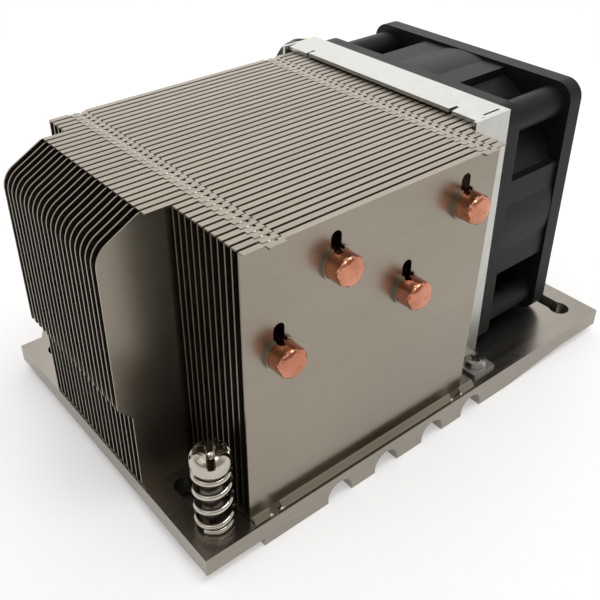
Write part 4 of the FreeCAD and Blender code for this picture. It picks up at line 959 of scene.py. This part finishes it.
# %% Make the tie
TIE_MIDDLE, TIE_HALF_REACH, TIE_HALF_HEIGHT = 12.1, 2.5, 1.3
TIE_WIDTH, TIE_THICK, TIE_STEPS, TIE_EDGE = 3.0, 0.35, 48, math.radians(40)
out = Vector((math.cos(math.radians(TIE_ANGLE)), math.sin(math.radians(TIE_ANGLE)), 0.0))
over = Vector((-out.y, out.x, 0.0))
middle = (Vector((*COIL_MIDDLE, 0.0)) + out * TIE_MIDDLE
          + Vector((0, 0, COIL_LEVEL + TIE_LIFT)))
points, faces = [], []
for k in range(TIE_STEPS):
    turn = 2 * math.pi * k / TIE_STEPS
    shift = math.copysign(TIE_HALF_REACH - TIE_HALF_HEIGHT, math.cos(turn))
    for lift, side in ((-1, -1), (1, -1), (1, 1), (-1, 1)):
        r = TIE_HALF_HEIGHT + lift * TIE_THICK / 2
        points.append(to_frame(middle + out * (shift + r * math.cos(turn))
                               + Vector((0, 0, r * math.sin(turn)))
                               + over * (side * TIE_WIDTH / 2)))
for k in range(TIE_STEPS):
    a, b = 4 * k, 4 * ((k + 1) % TIE_STEPS)
    for i in range(4):
        j = (i + 1) % 4
        faces.append((a + i, a + j, b + j, b + i))
tie = new_piece("coil_tie", points, faces, plug_finish)
tie.data.set_sharp_from_angle(angle=TIE_EDGE)
print("tie:", len(tie.data.polygons), "faces")

# %% [markdown]
# ## The plug and the whole lead
# A four-way fan plug has one square socket for each wire, a window over each socket where
# the crimped terminal latches, and two guide ribs that let it fit one way round only. It
# is a block with holes cut by a boolean and its edges softened by a bevel, which is safe
# here because every face is flat. The cutters go as soon as the result is a plain mesh.

# %% Cut the plug
PIN_PITCH, PLUG_LENGTH, PLUG_HALF, PLUG_HEIGHT = 2.54, 11.4, 5.1, 5.8
PLUG_BEVEL, PLUG_CLEAR = 0.15 * MM, 0.02


def blocks(name, boxes):
    """One mesh object of plain blocks, each from its low and high corner."""
    shell = bmesh.new()
    for low, high in boxes:
        made = bmesh.ops.create_cube(shell, size=1.0)["verts"]
        for vertex in made:
            vertex.co = Vector([(a + b) / 2 + (b - a) * v
                                for a, b, v in zip(low, high, vertex.co)]) * MM
    mesh = bpy.data.meshes.new(name)
    shell.to_mesh(mesh)
    shell.free()
    block = bpy.data.objects.new(name, mesh)
    scene.collection.objects.link(block)
    return block


lanes = [(k - 1.5) * PIN_PITCH for k in range(STRANDS)]
block = blocks("plug_block", [((0, -PLUG_HALF, 0), (PLUG_LENGTH, PLUG_HALF, PLUG_HEIGHT))])
holes = blocks("plug_holes",
               [((4.5, lane - 0.6, 2.3), (12.0, lane + 0.6, 3.5)) for lane in lanes]
               + [((2.4, lane - 0.5, 4.6), (4.4, lane + 0.5, 7.0)) for lane in lanes]
               + [((-1.0, lane - 0.75, 2.1), (1.2, lane + 0.75, 3.7)) for lane in lanes])
ribs = blocks("plug_ribs", [((5.2, side - 0.45, 5.0), (11.3, side + 0.45, 6.5))
                            for side in (-2.2, 2.2)])
for tool, operation in ((ribs, "UNION"), (holes, "DIFFERENCE")):
    cut = block.modifiers.new(operation.lower(), "BOOLEAN")
    cut.operation, cut.object, cut.solver = operation, tool, "EXACT"
soft = block.modifiers.new("edges", "BEVEL")
soft.width, soft.segments, soft.limit_method = PLUG_BEVEL, 2, "ANGLE"
solid = bpy.data.meshes.new_from_object(
    block.evaluated_get(bpy.context.evaluated_depsgraph_get()))
end, before = Vector(LEAD_END[-1]), Vector(LEAD_END[-2])
heading = math.atan2(end.y - before.y, end.x - before.x)
solid.transform(Matrix.Translation(to_frame((end.x, end.y, PLUG_CLEAR)))
                @ Matrix.Rotation(heading, 4, "Z"))
solid.materials.clear()
solid.materials.append(plug_finish)
plug = bpy.data.objects.new("lead_plug_housing", solid)
scene.collection.objects.link(plug)
for tool in (block, holes, ribs):
    bpy.data.objects.remove(tool)
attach(plug, "heatsink")
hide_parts("lead_plug")
print("plug:", len(solid.polygons), "faces")

for piece in (wires, sleeve, tie):
    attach(piece, "heatsink")
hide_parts("fan_lead")
print("lead: %.1f mm with its plug" % (lead_length / MM))

# %% [markdown]
# ## Floor, backdrop and light
# Metal looks like what stands round it. The surround is white behind the part, overhead
# and near the floor, and warm grey on the camera's side, which the near fin and the
# screw mirror. It is at full strength for what the camera and the mirrors see, and a
# little dimmer for what lights the matt surfaces.

# %% Light the surround
SURROUND_LIGHT = 0.82
BEHIND, BEHIND_EDGE = (0.68, 0.73), (-0.30, 0.50)
OVERHEAD_EDGE, LOW_EDGE = (0.70, 0.90), (0.30, 0.12)
ROOM_COLOUR = (0.42, 0.39, 0.34)


def seen(signal):
    """1 for what the camera sees, straight or in metal or glass, and 0 for plain light."""
    path = signal.add("ShaderNodeLightPath").socket.node
    rays = [Signal(signal.tree, path.outputs[name])
            for name in ("Is Camera Ray", "Is Glossy Ray", "Is Transmission Ray")]
    return clamped(rays[0] + rays[1] + rays[2], 0.0, 1.0)


world = bpy.data.worlds.new("surround")
world.use_nodes = True
scene.world = world
background = world.node_tree.nodes["Background"]
shown = seen(Signal(world.node_tree))
level = SURROUND_LIGHT + shown * (1.0 - SURROUND_LIGHT)
world.node_tree.links.new(level.socket, background.inputs["Strength"])
x, y, z = shown.add("ShaderNodeTexCoord", output="Generated").split()
behind = (x * BEHIND[0] + y * BEHIND[1]).step(*BEHIND_EDGE)
overhead = z.step(*OVERHEAD_EDGE)
low = z.step(*LOW_EDGE)
bright = behind.math("MAXIMUM", behind.math("MAXIMUM", behind, overhead), low)
room = between(bright, ROOM_COLOUR, (1.0, 1.0, 1.0))
world.node_tree.links.new(room.socket, background.inputs["Color"])
print("surround:", len(world.node_tree.nodes), "nodes")

# %% [markdown]
# The part stands on a plain pale table. What the camera sees of it is lifted to white, and
# it keeps the part's shadow. Under the plate a dark patch is painted into the table's
# colour and the lift is left off there: a painted shadow, deepest under the plate, where
# next to no light reaches.

# %% Lay the table
FLOOR_LIFT = 0.40
# size and soft edge of the painted shadow under the plate
SHADOW_PATCH_SIZE, SHADOW_PATCH_EDGE = (0.060, 0.0398), 0.006
TABLE_HALF, TABLE_LEVEL = 4, -0.0001

floor_finish, place, shader = new_finish("pale_table", Roughness=0.7,
                                         Specular_IOR_Level=0.1, Emission_Strength=1.0)
mottle = clouds(place, 6.0)
x, y, z = place.split()
# painted shadow: the table's colour goes dark under the plate's footprint
painted_shadow_under = (x.math("ABSOLUTE", x).step(SHADOW_PATCH_SIZE[0], SHADOW_PATCH_SIZE[0] - SHADOW_PATCH_EDGE)
         * y.math("ABSOLUTE", y).step(SHADOW_PATCH_SIZE[1], SHADOW_PATCH_SIZE[1] - SHADOW_PATCH_EDGE))
pale = between(mottle, (0.67, 0.67, 0.665), (0.70, 0.70, 0.695))
lift = seen(place) * FLOOR_LIFT * (1 - painted_shadow_under)
feed(shader, Base_Color=between(painted_shadow_under, pale, (0.10, 0.095, 0.085)),
     Emission_Color=between(lift, (0.0, 0.0, 0.0), (1.0, 1.0, 1.0)))
table = new_piece("table", [(x * TABLE_HALF, y * TABLE_HALF, TABLE_LEVEL)
                            for x, y in ((-1, -1), (1, -1), (1, 1), (-1, 1))],
                  [(0, 1, 2, 3)], floor_finish, smooth=False)
table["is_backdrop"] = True
print("table:", table.name)

# %% [markdown]
# Three square softboxes add to the surround: a wide one behind the part, one high on the
# left, and a small key above the near edge, which puts the sharp lights on the pipes' tips
# and the screw. Their power is in watts and their size in metres.

# %% Set the softboxes
AIM = (0.0, 0.0, 0.03)


def softbox(name, power, side, spot):
    """A square soft light that faces the part and isn't seen itself."""
    lamp = bpy.data.lights.new(name, "AREA")
    lamp.energy, lamp.size = power, side
    box = bpy.data.objects.new(name, lamp)
    box.location = spot
    box.rotation_euler = (Vector(AIM) - Vector(spot)).to_track_quat("-Z", "Y").to_euler()
    box.visible_camera = False
    scene.collection.objects.link(box)


softbox("back_softbox", 0.45, 0.5, (0.31, 0.40, 0.38))
softbox("left_softbox", 0.30, 0.4, (-0.50, 0.05, 0.50))
softbox("key_softbox", 0.36, 0.13, (0.0, -0.11, 0.36))
print("lights:", [lamp.name for lamp in bpy.data.lights])

# %% Measure the size
size = [cad_box, [list(corner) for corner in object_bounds()]]
print("model box", size[1])
